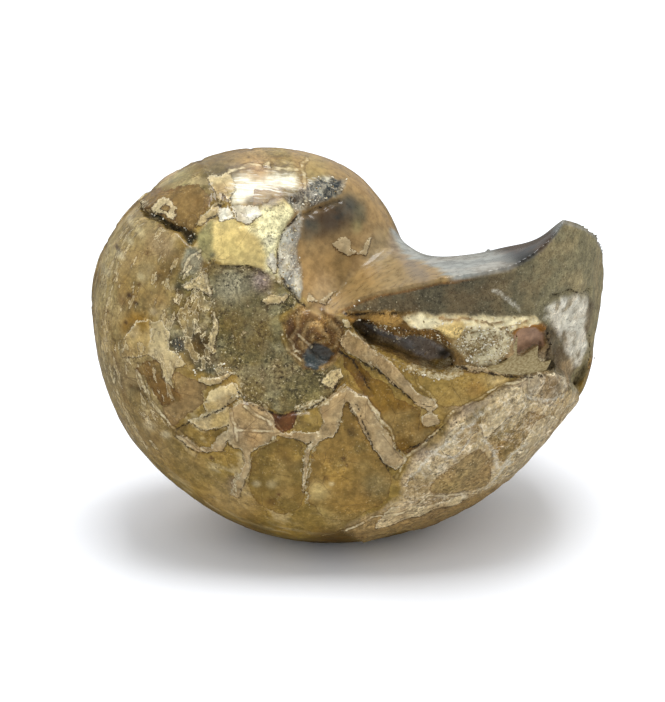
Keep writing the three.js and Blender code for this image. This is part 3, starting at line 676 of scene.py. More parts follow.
def swirl(at):
    """The innermost coils in the umbilicus, as ridges from -1 to 1."""
    turn = np.arctan2(at.z + 2, at.x - 1)
    reach = np.hypot(at.z + 2, at.x - 1)
    return np.sin(2.6 * reach - turn + 3.5 * noise(at.points, 3, 41))


def dome(at, outline, height):
    """A rounded lump over an outline."""
    return height * np.sqrt(np.clip(-at.outline([outline]) / 1.6, 0, 1))


def lime_of(at):
    """1 where rough pale lime has grown, along the edges of the layers and here and there."""
    edges = np.minimum(abs(at.outline(BEIGE)), abs(at.outline(DISC)))
    edges = np.minimum(edges, abs(at.outline(COLUMN)))
    along = step(edges, 1.3, 0.2) * step(fractal(at.points, 6, 141, 3), -0.05, 0.3)
    grown = 0.7 * step(at.line(LIME[:3]), 1.1, 0.2)
    shelf = step(at.line(LIME[3:]), 1.4, 0.3)
    return np.maximum(np.maximum(0.6 * along, grown), shelf) * at.near


SUTURE_GAP = 17.5  # degrees from one chamber wall to the next


def suture(at):
    """Distance along the surface to the nearest chamber wall, in mm, and the chamber's number."""
    reach = np.hypot(at.x, at.z)
    angle = np.degrees(np.arctan2(at.z, at.x))
    share = np.clip(reach / (60 + 0.09 * ((angle - 40) % 360 - 320)), 0, 1)
    bend = 10 * np.sin(math.pi * share) - 22 * share + 2.5 * noise(at.points, 12, 91)
    place = (angle + bend) / SUTURE_GAP
    number = np.floor(place + 0.5)
    return np.radians((place - number) * SUTURE_GAP) * reach, number


def far_shell(at):
    """Less than 0 where a thin layer of shell is still on the far flank, about in mm."""
    return (0.14 - fractal(at.points, 13, 95, 5)) * 9


def add_object(name, data):
    """A new object in the scene."""
    thing = bpy.data.objects.new(name, data)
    bpy.context.scene.collection.objects.link(thing)
    return thing


def finished(form, name):
    """The mesh of a form that has been built up."""
    mesh = bpy.data.meshes.new(name)
    form.to_mesh(mesh)
    form.free()
    return mesh


def keep_result(thing):
    """Makes the result of a thing's modifiers its own mesh."""
    done = bpy.data.meshes.new_from_object(thing.evaluated_get(bpy.context.evaluated_depsgraph_get()))
    thing.modifiers.clear()
    old, thing.data = thing.data, done
    done.name = thing.name
    bpy.data.meshes.remove(old)


def subject_of(node):
    """The solid's own surface as one closed mesh."""
    loose = bmesh.new()
    loose.from_mesh(node.data)
    bmesh.ops.remove_doubles(loose, verts=loose.verts, dist=1e-6)
    return add_object("nautilus_stone", finished(loose, "nautilus_stone"))


def settle(stone, name, **settings):
    """Puts one modifier on the stone and keeps its result."""
    modifier = stone.modifiers.new(name, name)
    for key, value in settings.items():
        setattr(modifier, key, value)
    keep_result(stone)


def soften_facets(skin):
    """Rounds the solid's facets but keeps its ledges."""
    skin.soften(2, np.ones(skin.count))
    sharp = np.linalg.norm(skin.neighbours(skin.points) - skin.points, axis=1) / (VOXEL * MM)
    ledge = step(sharp, 0.06, 0.14)
    for _ in range(5):
        ledge = np.maximum(ledge, skin.neighbours(ledge))
    skin.soften(6, np.ones(skin.count))
    skin.soften(90, 1 - ledge)


FRONT = (0.15, -0.93, 0.37)  # the way that the finest triangles face


def carve(stone):
    """Gives the stone its relief, with its finest triangles where it faces the front."""
    settle(stone, "REMESH", mode="VOXEL", voxel_size=VOXEL * MM)
    skin = Skin(stone.data)
    soften_facets(skin)
    stone.data.vertices.foreach_set("co", skin.points.ravel())
    stone.data.update()
    normals = np.empty(skin.count * 3)
    stone.data.vertices.foreach_get("normal", normals)
    normals = normals.reshape(-1, 3)
    out = relief(Places(skin.points)) * MM
    low = skin.points[:, 2]
    out *= step(low, 0.0002, 0.002)  # the flat that it rests on stays flat
    skin.points += normals * out[:, None]
    skin.points[:, 2] = np.maximum(skin.points[:, 2], 0)
    stone.data.vertices.foreach_set("co", skin.points.ravel())
    stone.data.update()
    away = step(normals @ np.array(FRONT), 0.1, -0.35)
    group = stone.vertex_groups.new(name="plain")
    for level in range(1, 11):
        rows = np.flatnonzero((away > (level - 1) / 10) & (away <= level / 10))
        group.add(rows.tolist(), level / 10, "REPLACE")
    triangles = sum(len(face.vertices) - 2 for face in stone.data.polygons)
    settle(stone, "DECIMATE", ratio=TRIANGLES / triangles, vertex_group="plain", vertex_group_factor=0.5)
    stone.vertex_groups.clear()
    for vertex in stone.data.vertices:
        vertex.co.z = max(vertex.co.z, 0)


# ---- The colours -----------------------------------------------------------------------------------------
def linear(colour):
    """A colour given 0 to 255 a channel, as Blender's own linear values."""
    c = np.array(colour, float) / 255
    return np.where(c < 0.04045, c / 12.92, ((c + 0.055) / 1.055) ** 2.4)


# The tables have colours as they look in bright even light. The stone's own are this much darker.
OWN_TONE = 0.82
SHINE = 0.012  # what the polish adds to every colour


def tone(colour):
    """The stone's own colour for one as it looks."""
    seen = linear(colour)
    return (*(OWN_TONE * np.maximum(seen - SHINE, 0.6 * seen)), 1.0)


class Coat:
    """One layer of colour over the stone, laid on a place at a time."""

    def __init__(self, count, colour):
        self.colour = np.tile(tone(colour)[:3], (count, 1))

    def lay(self, amount, colour):
        """Mixes in a colour, by an amount for each point."""
        self.colour += np.asarray(amount)[:, None] * (np.array(tone(colour)[:3]) - self.colour)

    def stain(self, at, stains, amount):
        """Lays soft round blots: stains, and in one table some painted shade; amount is how much of them each
        point takes.
        """
        for x, z, reach, colour, strength in stains:
            blot = np.exp(-(((at.x - x) ** 2 + (at.z - z) ** 2) / (1.1 * reach) ** 2) ** 1.5)
            self.lay(strength * blot * amount, colour)


class Ground(Coat):
    """The stone's own colour, and with it its gloss, grain and speckle."""

    def __init__(self, count, colour):
        super().__init__(count, colour)
        self.gloss, self.grain, self.speckle = (np.full(count, value) for value in (0.8, 0.12, 0.4))

    def finish(self, amount, *goals):
        """Moves gloss, grain and speckle towards their goals."""
        for values, goal in zip((self.gloss, self.grain, self.speckle), goals):
            values += amount * (goal - values)


# Ground colours, from the first laid to the last: outlines, colour, gloss, grain, speckle, soft edge.
GROUNDS = [
    (BAND, (186, 164, 121), 0.6, 0.3, 0.8, 0.8),
    (COLUMN, (122, 108, 66), 0.45, 0.4, 0.8, 0.8),
    (GREY_PATCH, (150, 148, 124), 0.5, 0.3, 0.5, 0.5),
    (YELLOW, (221, 199, 132), 0.5, 0.15, 0.3, 0.3),
    (YELLOW_PALE, (244, 236, 184), 0.4, 0.5, 0.9, 0.8),
    (OLIVE, (160, 152, 104), 0.5, 0.15, 0.3, 0.4),
    (DISC, (116, 105, 68), 0.5, 0.5, 1.0, 0.3),
    (FAN, (138, 128, 88), 0.4, 0.4, 0.6, 0.3),
    # Mother-of-pearl: its own pale colour, painted as light as its highlight.
    (SILVER, (246, 240, 210), 0.9, 0.0, 0.1, 0.8),
    (SILVER_LOW, (106, 95, 60), 0.8, 0.1, 0.2, 0.6),
    (KNOB, (126, 98, 58), 0.7, 0.4, 0.9, 0.6),
    (PITSPOT, (52, 58, 64), 0.6, 0.1, 0.3, 0.25),
]
WINDOWS = [
    (WIN_GOLD[:1], (160, 133, 70)),
    (WIN_GOLD[1:2], (138, 114, 60)),
    (WIN_GOLD[2:], (154, 124, 66)),
    (WIN_BROWN[:1], (126, 96, 38)),
    (WIN_BROWN[1:], (160, 136, 92)),
    (BROWN[:1], (130, 108, 66)),
    (BROWN[1:2], (124, 97, 55)),
    (BROWN[2:4], (154, 128, 84)),
    (BROWN[4:], (150, 126, 82)),
    (DARKRED, (100, 64, 30)),
    (NET_HOLES, (140, 116, 74)),
]
FLAKES = [
    (BEIGE, (177, 152, 109)),
    (GOLD, (190, 164, 106)),
    (NET, (200, 184, 140)),
    (CREAM, (208, 188, 138)),
    (WHITE, (238, 234, 212)),
    (FLAKE_ON_BARE, (196, 176, 136)),
    (BAND_PLATES[:1], (206, 184, 140)),
    (BAND_PLATES[1:2], (176, 158, 126)),
    (BAND_PLATES[2:3], (204, 182, 138)),
    (BAND_PLATES[3:], (188, 168, 128)),
]


SHADOW_SIDE_LIFT = 0.35  # mm; a shift of the layers by this much tells below an edge, where shadow is painted, from above it


class Masks:
    """Where the main places are, from 0 to 1 at each point, as the colours need them."""

    def __init__(self, at):
        self.wall, self.dish, self.bare = at.wall, at.dish, at.bare
        self.far = (1 - at.near) * (1 - self.dish) * (1 - self.bare) * (1 - self.wall)
        self.band = at.within(BAND, 0.8)
        self.border = self.band * step(at.line(EDGES[-1:]), 2.8, 1.4)
        self.below = (1 - at.hollow_face) * step(at.over, 0.6, -0.4)
        self.ledge = at.within([LEDGE], 0.4) * self.below
        self.bed = at.within([CRYSTAL_BED], 0.5) * self.below
        self.crest = at.within([CREST], 0.4) * self.below
        self.hollow = np.maximum(at.within([SLATE], 0.25), 0.2 * at.within([HOLLOW], 0.3)) * self.below
        self.white = at.within(WHITE_CRYSTALS, 0.9) * self.below
        self.crust = at.within(CRUST, 0.5)
        self.upper_crust = at.within(CRUST[1:])
        self.groove = at.within([GROOVE], 0.2)
        self.mottle = fractal(at.points, 7, 101)
        # Coordinates that follow the shell's growth.
        reach, angle = np.hypot(at.x, at.z), np.arctan2(-at.z, -at.x)
        self.along = np.column_stack([1.1 * reach, 0.9 * at.y, 14 * angle])


def paint_flank(at, mask, ground):
    """The worn flank, and the places on it that differ."""
    p = at.points
    ground.lay(at.within([LEFT_FLANK], 3.0), (160, 140, 90))
    # The top is painted darker than the stone's own colour: painted shade against the light that falls on it
    # from above.
    ground.lay(at.within([TOP], 2.0), (124, 110, 68))
    ground.lay(step(mask.mottle, 0.05, 0.5) * 0.5, (176, 154, 102))
    ground.lay(step(mask.mottle, -0.05, -0.5) * 0.5, (124, 96, 48))
    grown, left = fractal(mask.along, 2.2, 181, 4), step(at.x, 12, -6)
    ground.lay(left * step(grown, 0.12, 0.34) * 0.65, (198, 178, 130))
    ground.lay(left * step(grown, -0.16, -0.36) * 0.5, (104, 82, 44))
    for outlines, colour, gloss, grain, speckle, soft in GROUNDS:
        amount = at.within(outlines, soft)
        ground.lay(amount, colour)
        ground.finish(amount, gloss, grain, speckle)
    ground.lay(0.8 * mask.border, (202, 180, 144))
    ground.lay(mask.band * step(at.z, -37, -40), (168, 140, 92))
    column = at.within(COLUMN, 0.5)
    ground.lay(0.65 * column * patches(p, 3.0, 211, 0.02, 0.25), (88, 88, 74))
    ground.lay(0.5 * column * patches(p, 2.4, 215, -0.05, -0.35), (184, 174, 136))
    disc = at.within(DISC, 0.3)
    ground.lay(0.55 * disc * patches(p, 4, 191, 0.0, 0.35), (144, 138, 106))
    ground.lay(0.5 * disc * patches(p, 3, 195, 0.05, 0.4), (98, 84, 48))


def paint_break(at, mask, ground):
    """The broken wall under the septum, and the ledge below it."""
    p, wall, below = at.points, mask.wall, mask.below
    ground.lay(wall, (104, 97, 76))
    # Towards the tip the wall turns a lighter grey-brown: partly its own colour, partly painted light where
    # its face turns up.
    ground.lay(wall * step(at.x, 30, 56), (149, 140, 106))
    ground.finish(wall, 0.3, 0.8, 0.3)
    ground.lay(mask.ledge, (132, 108, 66))
    ground.finish(mask.ledge, 0.4, 0.8, 0.6)
    for outline, colour in LEDGE_PARTS:
        ground.lay(at.within([outline], 0.5) * below, colour)
    ground.lay(0.8 * mask.bed * patches(p, 1.8, 221, -0.1, 0.2, 3), (134, 110, 62))
    # Painted shade: the bed turns browner towards its lower left.
    ground.lay(0.7 * mask.bed * step(at.x + 0.5 * at.z, 31.5, 27.5), (146, 120, 72))
    ground.lay(0.55 * mask.crest * patches(p * (0.5, 1, 1.4), 1.6, 225, 0.05, 0.35), (214, 184, 116))
    ground.finish(np.maximum(mask.bed, mask.crest), 0.4, 0.35, 0.08)
    # Slate-dark streaks in the hollow, drawn out along its slope.
    slope = np.array([[0.9, 0, 0.4], [0, 1, 0], [-0.4, 0, 0.9]])
    streaks = patches(p @ slope * (0.3, 1, 1.6), 1.4, 151, -0.2, 0.4, 3)
    ground.lay(mask.hollow, (128, 118, 106))
    ground.lay(mask.hollow * streaks * 0.6, (160, 158, 156))
    ground.finish(mask.hollow, 0.5, 0.5, 0.3)
    recess = at.within([RECESS], 0.2) * below
    ground.lay(recess, (182, 148, 122))
    ground.finish(recess, 0.6, 0.15, 0.1)
    ground.lay(at.within([RECESS_LINTEL], 0.2) * below, (168, 118, 58))
    ground.lay(0.8 * np.exp(-((at.line(OVERHANGS) / 0.22) ** 2)) * below, (150, 104, 48))
    network = at.within(NETWORK, 0.6) * below
    ground.lay(network, (124, 113, 88))
    ground.lay(0.5 * network * patches(p * (1, 1, 0.4), 1.6, 193, 0.0, 0.3, 3), (92, 80, 58))
    ground.lay(0.55 * mask.white, (190, 182, 158))
    ground.lay(0.9 * mask.white * patches(p * (1.6, 1, 0.7), 2.6, 197, -0.25, 0.12), (248, 243, 224))


def paint_inner_whorl(at, mask, ground):
    """The whorl inside, with the crust beside it, and the umbilicus at its middle."""
    p, crust = at.points, mask.crust
    ground.lay(mask.bare, (163, 136, 92))
    ground.finish(mask.bare, 0.9, 0.0, 0.0)
    ground.lay(crust, (100, 106, 104))
    ground.lay(crust * patches(p * (1, 1, 0.5), 2.0, 161, -0.02, 0.2), (226, 222, 196))
    ground.lay(crust * patches(p * (1, 1, 0.6), 1.8, 171, 0.08, 0.3, 3), (60, 62, 60))
    ground.lay(0.9 * mask.upper_crust * patches(p, 2.2, 231, 0.5, 0.15, 3), (54, 60, 62))
    ground.lay(0.35 * at.within(CRUST[:1]), (238, 236, 220))
    ground.finish(crust, 0.5, 0.4, 0.4)
    ground.stain(at, STAINS_AND_SHADE, at.near * (1 - mask.dish) * (1 - crust))
    lip = step(abs(at.over + 1.3), 0.6, 0.2) * mask.wall * step(at.y, -6, -10) * step(at.x, 3, 6)
    ground.lay(0.8 * lip * step(at.x, 33, 27), (142, 96, 46))
    knob, coils = at.within(KNOB, 0.8), swirl(at)
    ground.lay(0.55 * knob * step(coils, 0.1, 0.8), (78, 52, 28))
    # The pale bands on the knob's coils are painted highlights.
    ground.lay(0.4 * knob * step(coils, -0.3, -0.9), (196, 168, 118))
    ground.lay(at.within(PITSPOT, 0.2), (76, 84, 84))
    ground.lay(mask.groove, (66, 66, 50))
    ground.finish(mask.groove, 0.2, 1.0, 0.6)


def paint_septum_and_back(at, mask, ground):
    """The last septum's hollow face, and the far flank."""
    p, dish, far = at.points, mask.dish, mask.far
    ground.lay(dish, (163, 166, 159))
    ground.lay(0.6 * dish * patches(p * (0.5, 1, 1), 7, 111, -0.1, 0.4), (118, 119, 112))
    # Painted shade: a dark band where the hollow face dips; towards the rim, a pale band is a painted
    # reflection of the back softbox.
    ground.lay(0.95 * dish * step(at.x, 37, 42) * step(at.x, 52, 48), (30, 31, 30))
    ground.lay(dish * step(at.x, 50, 55), (190, 190, 184))
    ground.lay(0.85 * dish * step(at.x, 50.5, 52.5) * step(at.y, -14, -24), (112, 104, 78))
    ground.finish(dish, 1.0, 0.0, 0.0)
    # Each chamber on the far flank is a little different.
    wall_gap, number = suture(at)
    tint = chance(np.stack([number, number, number], axis=1).astype(np.int64), 5)
    ground.lay(far * 0.55 * tint, (128, 100, 62))
    ground.lay(far * 0.5 * patches(p, 9, 121, 0.1, 0.5), (112, 108, 82))
    ground.lay(far * 0.8 * step(abs(wall_gap), 0.7, 0.2), (96, 72, 42))


def layers_of(at, table, coat):
    """Colours a coat by the nearest layer of a table, and gives the distance to that layer's edge."""
    edge = np.full(len(at.points), FAR_AWAY)
    for outlines, colour in table:
        gap = at.outline(outlines)
        if outlines is NET:
            gap = np.maximum(gap, -at.outline(NET_HOLES))
        coat.lay(gap < edge, colour)
        np.minimum(edge, gap, out=edge)
    return edge


def paint_layers(at, mask):
    """The coats of the thin layers: where the shell has gone, and where it is still on."""
    window, flake = Coat(len(at.points), (182, 146, 76)), Coat(len(at.points), (186, 162, 124))
    window_edge, flake_edge = layers_of(at, WINDOWS, window), layers_of(at, FLAKES, flake)
    flake.stain(at, FLAKE_STAINS, at.near)
    # Painted shadow and highlight: which side of a layer's edge is below it, where a dark line is painted, and
    # which is above it, where the rim is painted brighter.
    lifted = np.full(len(at.points), FAR_AWAY)
    for outlines, _ in FLAKES:
        np.minimum(lifted, at.outline(outlines, lift=SHADOW_SIDE_LIFT), out=lifted)
    shadow_side = np.clip((flake_edge - lifted) / SHADOW_SIDE_LIFT, -1, 1)
    flake_edge = np.minimum(flake_edge, far_shell(at) + FAR_AWAY * (1 - mask.far))
    window.lay(0.45 * step(mask.mottle, 0.1, 0.5), (188, 164, 104))
    window.lay(0.45 * step(mask.mottle, -0.1, -0.5), (104, 76, 32))
    cloudy = fractal(at.points, 4.5, 131)
    flake.lay(0.5 * step(cloudy, 0.0, 0.5), (206, 188, 148))
    flake.lay(0.5 * step(cloudy, 0.0, -0.5), (140, 112, 74))
    window.stain(at, WINDOW_STAINS, at.near)
    flake.stain(at, WINDOW_STAINS, 0.3 * at.near)
    edges = {"window_edge": window_edge, "flake_edge": flake_edge, "below": shadow_side}
    return {"window": window.colour, "flake": flake.colour}, edges


def growths(at, mask):
    """How flaky and how marbled the stone is, and how thick the crystals sit on it."""
    wall, band, crust = mask.wall, mask.band, mask.crust
    flaky = np.maximum(0.9 * at.within(COLUMN, 1), 0.35 * at.within(BAND, 1))
    flaky = np.maximum(flaky, 0.62 * at.within([LEFT_FLANK], 2) * (1 - wall) + 0.4 * at.within(DISC))
    flaky *= 1 - 0.9 * np.exp(-((at.x + 34.5) ** 2 + (at.z - 1.5) ** 2) / 9)
    marble = 0.8 * (band - 0.75 * mask.border) * step(at.z, -41, -37.5) * (1 - mask.ledge)
    marble = np.maximum(marble, 0.7 * mask.white)
    marble = np.maximum(marble, 0.7 * crust) * (1 - at.within(WIN_BROWN[1:], 0.5))
    beds = [
        crust * (0.3 - 0.2 * mask.upper_crust), mask.bed, 0.2 * at.within([BROWN_LUMPS], 0.4) * mask.below,
        0.12 * mask.crest, 0.06 * wall * step(at.x, 20, 8) * at.near,
        0.06 * mask.hollow + 0.1 * mask.groove + 0.3 * at.within(DARK_CRYSTALS, 0.4),
    ]
    return {"flaky": flaky, "marble": marble, "crystals": np.maximum.reduce(beds)}


def store(mesh, name, kind, field, values):
    """Keeps values on a mesh's points under a name."""
    attribute = mesh.attributes.new(name, kind, "POINT")
    attribute.data.foreach_set(field, np.ascontiguousarray(values, dtype=np.float32).ravel())


def paint(stone):
    """Colours, and where they and the finishes change, as attributes of the stone's points."""
    at = Places(Skin(stone.data).points)
    mask = Masks(at)
    ground = Ground(len(at.points), (154, 128, 66))
    for part in (paint_flank, paint_break, paint_inner_whorl, paint_septum_and_back):
        part(at, mask, ground)
    coats, numbers = paint_layers(at, mask)
    colours = {"ground": ground.colour} | coats
    numbers |= growths(at, mask)
    numbers |= {"gloss": ground.gloss, "grain": ground.grain, "speckle": ground.speckle}
    numbers |= {"crack": at.line(CRACKS), "vein": at.line(VEINS), "rim": at.line(EDGES)}
    numbers |= {"lime": lime_of(at), "pearl": at.within(SILVER, 0.8)}
    for name, values in colours.items():
        store(stone.data, name, "FLOAT_COLOR", "color", np.column_stack([values, np.ones(len(values))]))
    for name, values in numbers.items():
        store(stone.data, name, "FLOAT", "value", values)
    store(stone.data, "along", "FLOAT_VECTOR", "vector", mask.along)
    for face in stone.data.polygons:
        face.use_smooth = True


# ---- Finishes --------------------------------------------------------------------------------------------
class Tree:
    """Adds nodes to a node tree and links what it is given to their inputs."""

    def __init__(self, tree):
        self.tree = tree

    def put(self, kind, inputs=None, **settings):
        """A new node with its settings and inputs."""
        node = self.tree.nodes.new(kind)
        for key, value in settings.items():
            setattr(node, key, value)
        for name, value in (inputs or {}).items():
            self.give(node.inputs[name], value)
        return node

    def give(self, socket, value):
        """Links an input to a socket or a node's first output, or sets its value."""
        if isinstance(value, bpy.types.NodeSocket):
            self.tree.links.new(value, socket)
        elif isinstance(value, bpy.types.Node):
            self.tree.links.new(value.outputs[0], socket)
        else:
            socket.default_value = value

    def sum(self, operation, a, b=0.5, c=None, clamp=False):
        """A sum on one, two or three numbers."""
        inputs = {0: a, 1: b} if c is None else {0: a, 1: b, 2: c}
        return self.put("ShaderNodeMath", inputs, operation=operation, use_clamp=clamp).outputs[0]

    def times(self, a, b):
        return self.sum("MULTIPLY", a, b)

    def ramp(self, value, low, high, to_low=0.0, to_high=1.0):
        """Eases a value between two limits into another pair of values."""
        inputs = {"Value": value, "From Min": low, "From Max": high, "To Min": to_low, "To Max": to_high}
        return self.put("ShaderNodeMapRange", inputs, interpolation_type="SMOOTHSTEP").outputs[0]

    def blend(self, share, a, b, how="MIX"):
        """Colour a with share of colour b laid over it."""
        node = self.put("ShaderNodeMix", data_type="RGBA", blend_type=how, clamp_factor=True)
        self.give(node.inputs[0], share)
        self.give(node.inputs[6], a)
        self.give(node.inputs[7], b)
        return node.outputs[2]

    def number(self, name):
        """A number kept on the mesh."""
        return self.put("ShaderNodeAttribute", attribute_name=name).outputs["Fac"]

    def colour(self, name):
        """A colour kept on the mesh."""
        return self.put("ShaderNodeAttribute", attribute_name=name).outputs["Color"]


def rgba(colour):
    """A colour exactly as given."""
    return (*linear(colour), 1.0)


def node_group(name, ins, outs):
    """An empty group with named sockets: the group, its tree, and its input and output sockets."""
    group = bpy.data.node_groups.new(name, "ShaderNodeTree")
    for label, value in ins.items():
        kind = {float: "NodeSocketFloat", tuple: "NodeSocketVector"}[type(value)]
        group.interface.new_socket(label, in_out="INPUT", socket_type=kind).default_value = value
    for label, kind in outs.items():
        group.interface.new_socket(label, in_out="OUTPUT", socket_type=kind)
    tree = Tree(group)
    return group, tree, tree.put("NodeGroupInput").outputs, tree.put("NodeGroupOutput").inputs


def layer_edge():
    """The edge of a thin layer: where the layer is, its broken rim, and a painted shadow just outside it."""
    group, t, given, out = node_group(
        "layer edge",
        {"Distance": 0.0, "Rim": 0.35, "Wander": 0.3, "Place": (0.0, 0.0, 0.0)},
        {"Layer": "NodeSocketFloat", "Broken rim": "NodeSocketFloat", "Edge shadow": "NodeSocketFloat"},
    )
    lumps = {"Vector": given["Place"], "Scale": 1.9, "Detail": 6.0, "Roughness": 0.7}
    ragged = t.put("ShaderNodeTexNoise", lumps).outputs["Fac"]
    shift = t.times(t.sum("SUBTRACT", ragged, 0.5), given["Wander"])
    gap = t.sum("MULTIPLY_ADD", shift, 3.0, given["Distance"])
    t.give(out["Layer"], t.ramp(gap, 0.06, -0.06))
    rim = t.times(t.ramp(gap, 0.05, -0.02), t.ramp(gap, t.times(given["Rim"], -1.0), 0.0))
    t.give(out["Broken rim"], rim)
    t.give(out["Edge shadow"], t.times(t.ramp(gap, 0.0, 0.05), t.ramp(gap, 0.38, 0.05)))
    return group


class StoneLook(Tree):
    """Polished stone and mother-of-pearl: a colour that each step changes, and what the surface needs."""

    def __init__(self, tree, edge_group):
        super().__init__(tree)
        self.edge_group = edge_group
        coords = self.put("ShaderNodeTexCoord").outputs["Object"]
        self.place = self.put("ShaderNodeVectorMath", {0: coords, 3: 1 / MM}, operation="SCALE").outputs[0]
        self.coarse, self.middle = self.noise_at(0.16), self.noise_at(0.6, 5.0, 0.6)
        self.fine, self.grit = self.noise_at(2.6, 4.0, 0.65), self.noise_at(1.3, 6.0, 0.7)
        self.gloss, self.grain, self.speckle = (self.number(name) for name in ("gloss", "grain", "speckle"))
        self.shown = self.colour("ground")

    def noise_at(self, scale, detail=4.0, rough=0.55, **more):
        """Noise with scale lumps a millimetre."""
        inputs = {"Vector": self.place, "Scale": scale, "Detail": detail, "Roughness": rough} | more
        return self.put("ShaderNodeTexNoise", inputs).outputs["Fac"]

    def cells_at(self, scale, where=None, **settings):
        """Distances in a pattern of cells, with scale cells a millimetre."""
        inputs = {"Vector": self.place if where is None else where, "Scale": scale}
        return self.put("ShaderNodeTexVoronoi", inputs, **settings).outputs["Distance"]

    def edged(self, distance, wander):
        """A layer, its broken rim and the painted shadow along it, from the distance to its edge."""
        inputs = {"Distance": distance, "Rim": 0.3, "Wander": wander, "Place": self.place}
        return self.put("ShaderNodeGroup", inputs, node_tree=self.edge_group).outputs

    def cover(self, share, colour):
        """Lays another colour over the one so far."""
        self.shown = self.blend(share, self.shown, colour)

    def tint(self, share, colour):
        """The same with a colour from 0 to 255."""
        self.cover(share, tone(colour))

    def layers(self):
        """Where the shell has gone, and where it is still on."""
        under, over = self.edged(self.number("window_edge"), 0.4), self.edged(self.number("flake_edge"), 0.5)
        self.cover(under["Layer"], self.colour("window"))
        self.tint(self.times(under["Broken rim"], 0.6), (92, 62, 32))
        below = self.number("below")
        # Painted shadow: a dark line just outside each flake's edge, strongest below the edge.
        self.tint(self.times(over["Edge shadow"], self.ramp(below, -0.3, 0.6, 0.12, 0.95)), (60, 42, 24))
        self.cover(over["Layer"], self.colour("flake"))
        self.patchy = self.ramp(self.noise_at(0.3, 3.0), 0.42, 0.58, 0.1, 0.95)
        # The flakes' broken rims: their own pale colour, with a painted highlight that makes them brighter
        # along the upper side of each edge.
        bright = self.times(self.patchy, self.ramp(below, 0.7, -0.5, 0.5, 1.0))
        self.tint(self.times(over["Broken rim"], bright), (246, 232, 194))
        self.shell_on = over["Layer"]

    def scales(self):
        """Small thin remnants of shell."""
        along = self.put("ShaderNodeAttribute", attribute_name="along").outputs["Vector"]
        lumps = {"Vector": along, "Scale": 0.5, "Detail": 5.0, "Roughness": 0.6}
        growth = self.put("ShaderNodeTexNoise", lumps).outputs["Fac"]
        flaky = self.number("flaky")
        bar = self.ramp(flaky, 0.0, 1.0, 0.74, 0.5)
        scales = self.edged(self.times(self.sum("SUBTRACT", bar, growth), 6.0), 0.3)
        # Painted shadow: a dark line along the edges of the small scales.
        self.tint(self.times(scales["Edge shadow"], 0.5), (80, 60, 34))
        self.tint(self.times(scales["Layer"], 0.4), (196, 174, 126))
        self.tint(self.times(scales["Broken rim"], flaky), (230, 216, 176))

    def marbling(self):
        """White veins and brown blotches, where lime has run through the shell."""
        marble = self.number("marble")
        run = self.noise_at(0.15, 6.0, 0.62, Distortion=0.7)
        self.tint(self.times(self.ramp(run, 0.54, 0.62), self.times(marble, 0.7)), (126, 101, 58))
        self.tint(self.times(self.ramp(run, 0.46, 0.38), self.times(marble, 0.6)), (206, 186, 148))
        bend = self.put("ShaderNodeTexNoise", {"Vector": self.place, "Scale": 0.7, "Detail": 4.0})
        push = {0: bend.outputs["Color"], 1: (2.6, 2.6, 2.6), 2: self.place}
        pushed = self.put("ShaderNodeVectorMath", push, operation="MULTIPLY_ADD").outputs[0]
        cells = self.cells_at(0.42, pushed, feature="DISTANCE_TO_EDGE")
        crackle = self.ramp(cells, self.ramp(run, 0.35, 0.65, 0.22, 0.06), 0.02)
        crackle = self.times(crackle, self.ramp(self.noise_at(0.33, 3.0), 0.42, 0.56))
        ridge = self.ramp(self.sum("ABSOLUTE", self.sum("SUBTRACT", run, 0.5)), 0.03, 0.0, 0.0, 0.7)
        lines = self.sum("MULTIPLY", self.sum("MAXIMUM", ridge, crackle), marble, clamp=True)
        lines = self.times(lines, self.ramp(self.noise_at(1.1, 5.0, 0.7), 0.4, 0.56, 0.1, 0.8))
        self.tint(lines, (238, 226, 198))

    def specks(self):
        """Clouds, and patches of specks and pale flecks in the stone."""
        busy = self.times(self.ramp(self.noise_at(0.21, 3.0), 0.42, 0.58, 0.3, 1.3), self.speckle)
        cloud = self.ramp(self.middle, 0.34, 0.68, 0.76, 1.22)
        cloud = self.times(cloud, self.ramp(self.coarse, 0.35, 0.65, 0.92, 1.08))
        strength = self.sum("MULTIPLY_ADD", busy, 2.7, self.sum("MULTIPLY_ADD", self.speckle, 1.9, -0.05))
        swing = self.times(self.sum("SUBTRACT", self.grit, 0.5), strength)
        cloud = self.times(cloud, self.sum("ADD", swing, 1.0))
        grey = self.put("ShaderNodeCombineColor", {0: cloud, 1: cloud, 2: cloud})
        self.shown = self.blend(1.0, self.shown, grey, "MULTIPLY")
        self.tint(self.ramp(self.coarse, 0.42, 0.62, 0.0, 0.1), (176, 120, 52))
        dots = self.ramp(self.cells_at(0.9), 0.26, 0.14)
        dark = self.times(dots, self.ramp(self.middle, 0.5, 0.62))
        self.tint(self.times(dark, self.times(busy, 0.9)), (60, 42, 22))
        self.tint(self.times(self.times(self.ramp(self.fine, 0.6, 0.68), busy), 0.6), (232, 218, 178))
        self.tint(self.times(self.times(self.ramp(self.fine, 0.46, 0.34), self.grain), 0.6), (44, 40, 32))
        self.tint(self.times(self.times(self.ramp(self.fine, 0.62, 0.7), self.grain), 0.35), (216, 208, 186))

    def lime(self):
        """Rough pale lime along the edges of the layers."""
        lime = self.number("lime")
        limed = self.ramp(self.sum("MULTIPLY_ADD", lime, 0.3, self.noise_at(0.9, 6.0, 0.78)), 0.66, 0.76)
        self.limed = self.times(limed, self.ramp(lime, 0.05, 0.4))
        pale = self.blend(self.ramp(self.fine, 0.35, 0.65), tone((170, 142, 88)), tone((240, 228, 190)))
        self.cover(self.times(self.limed, 0.8), pale)

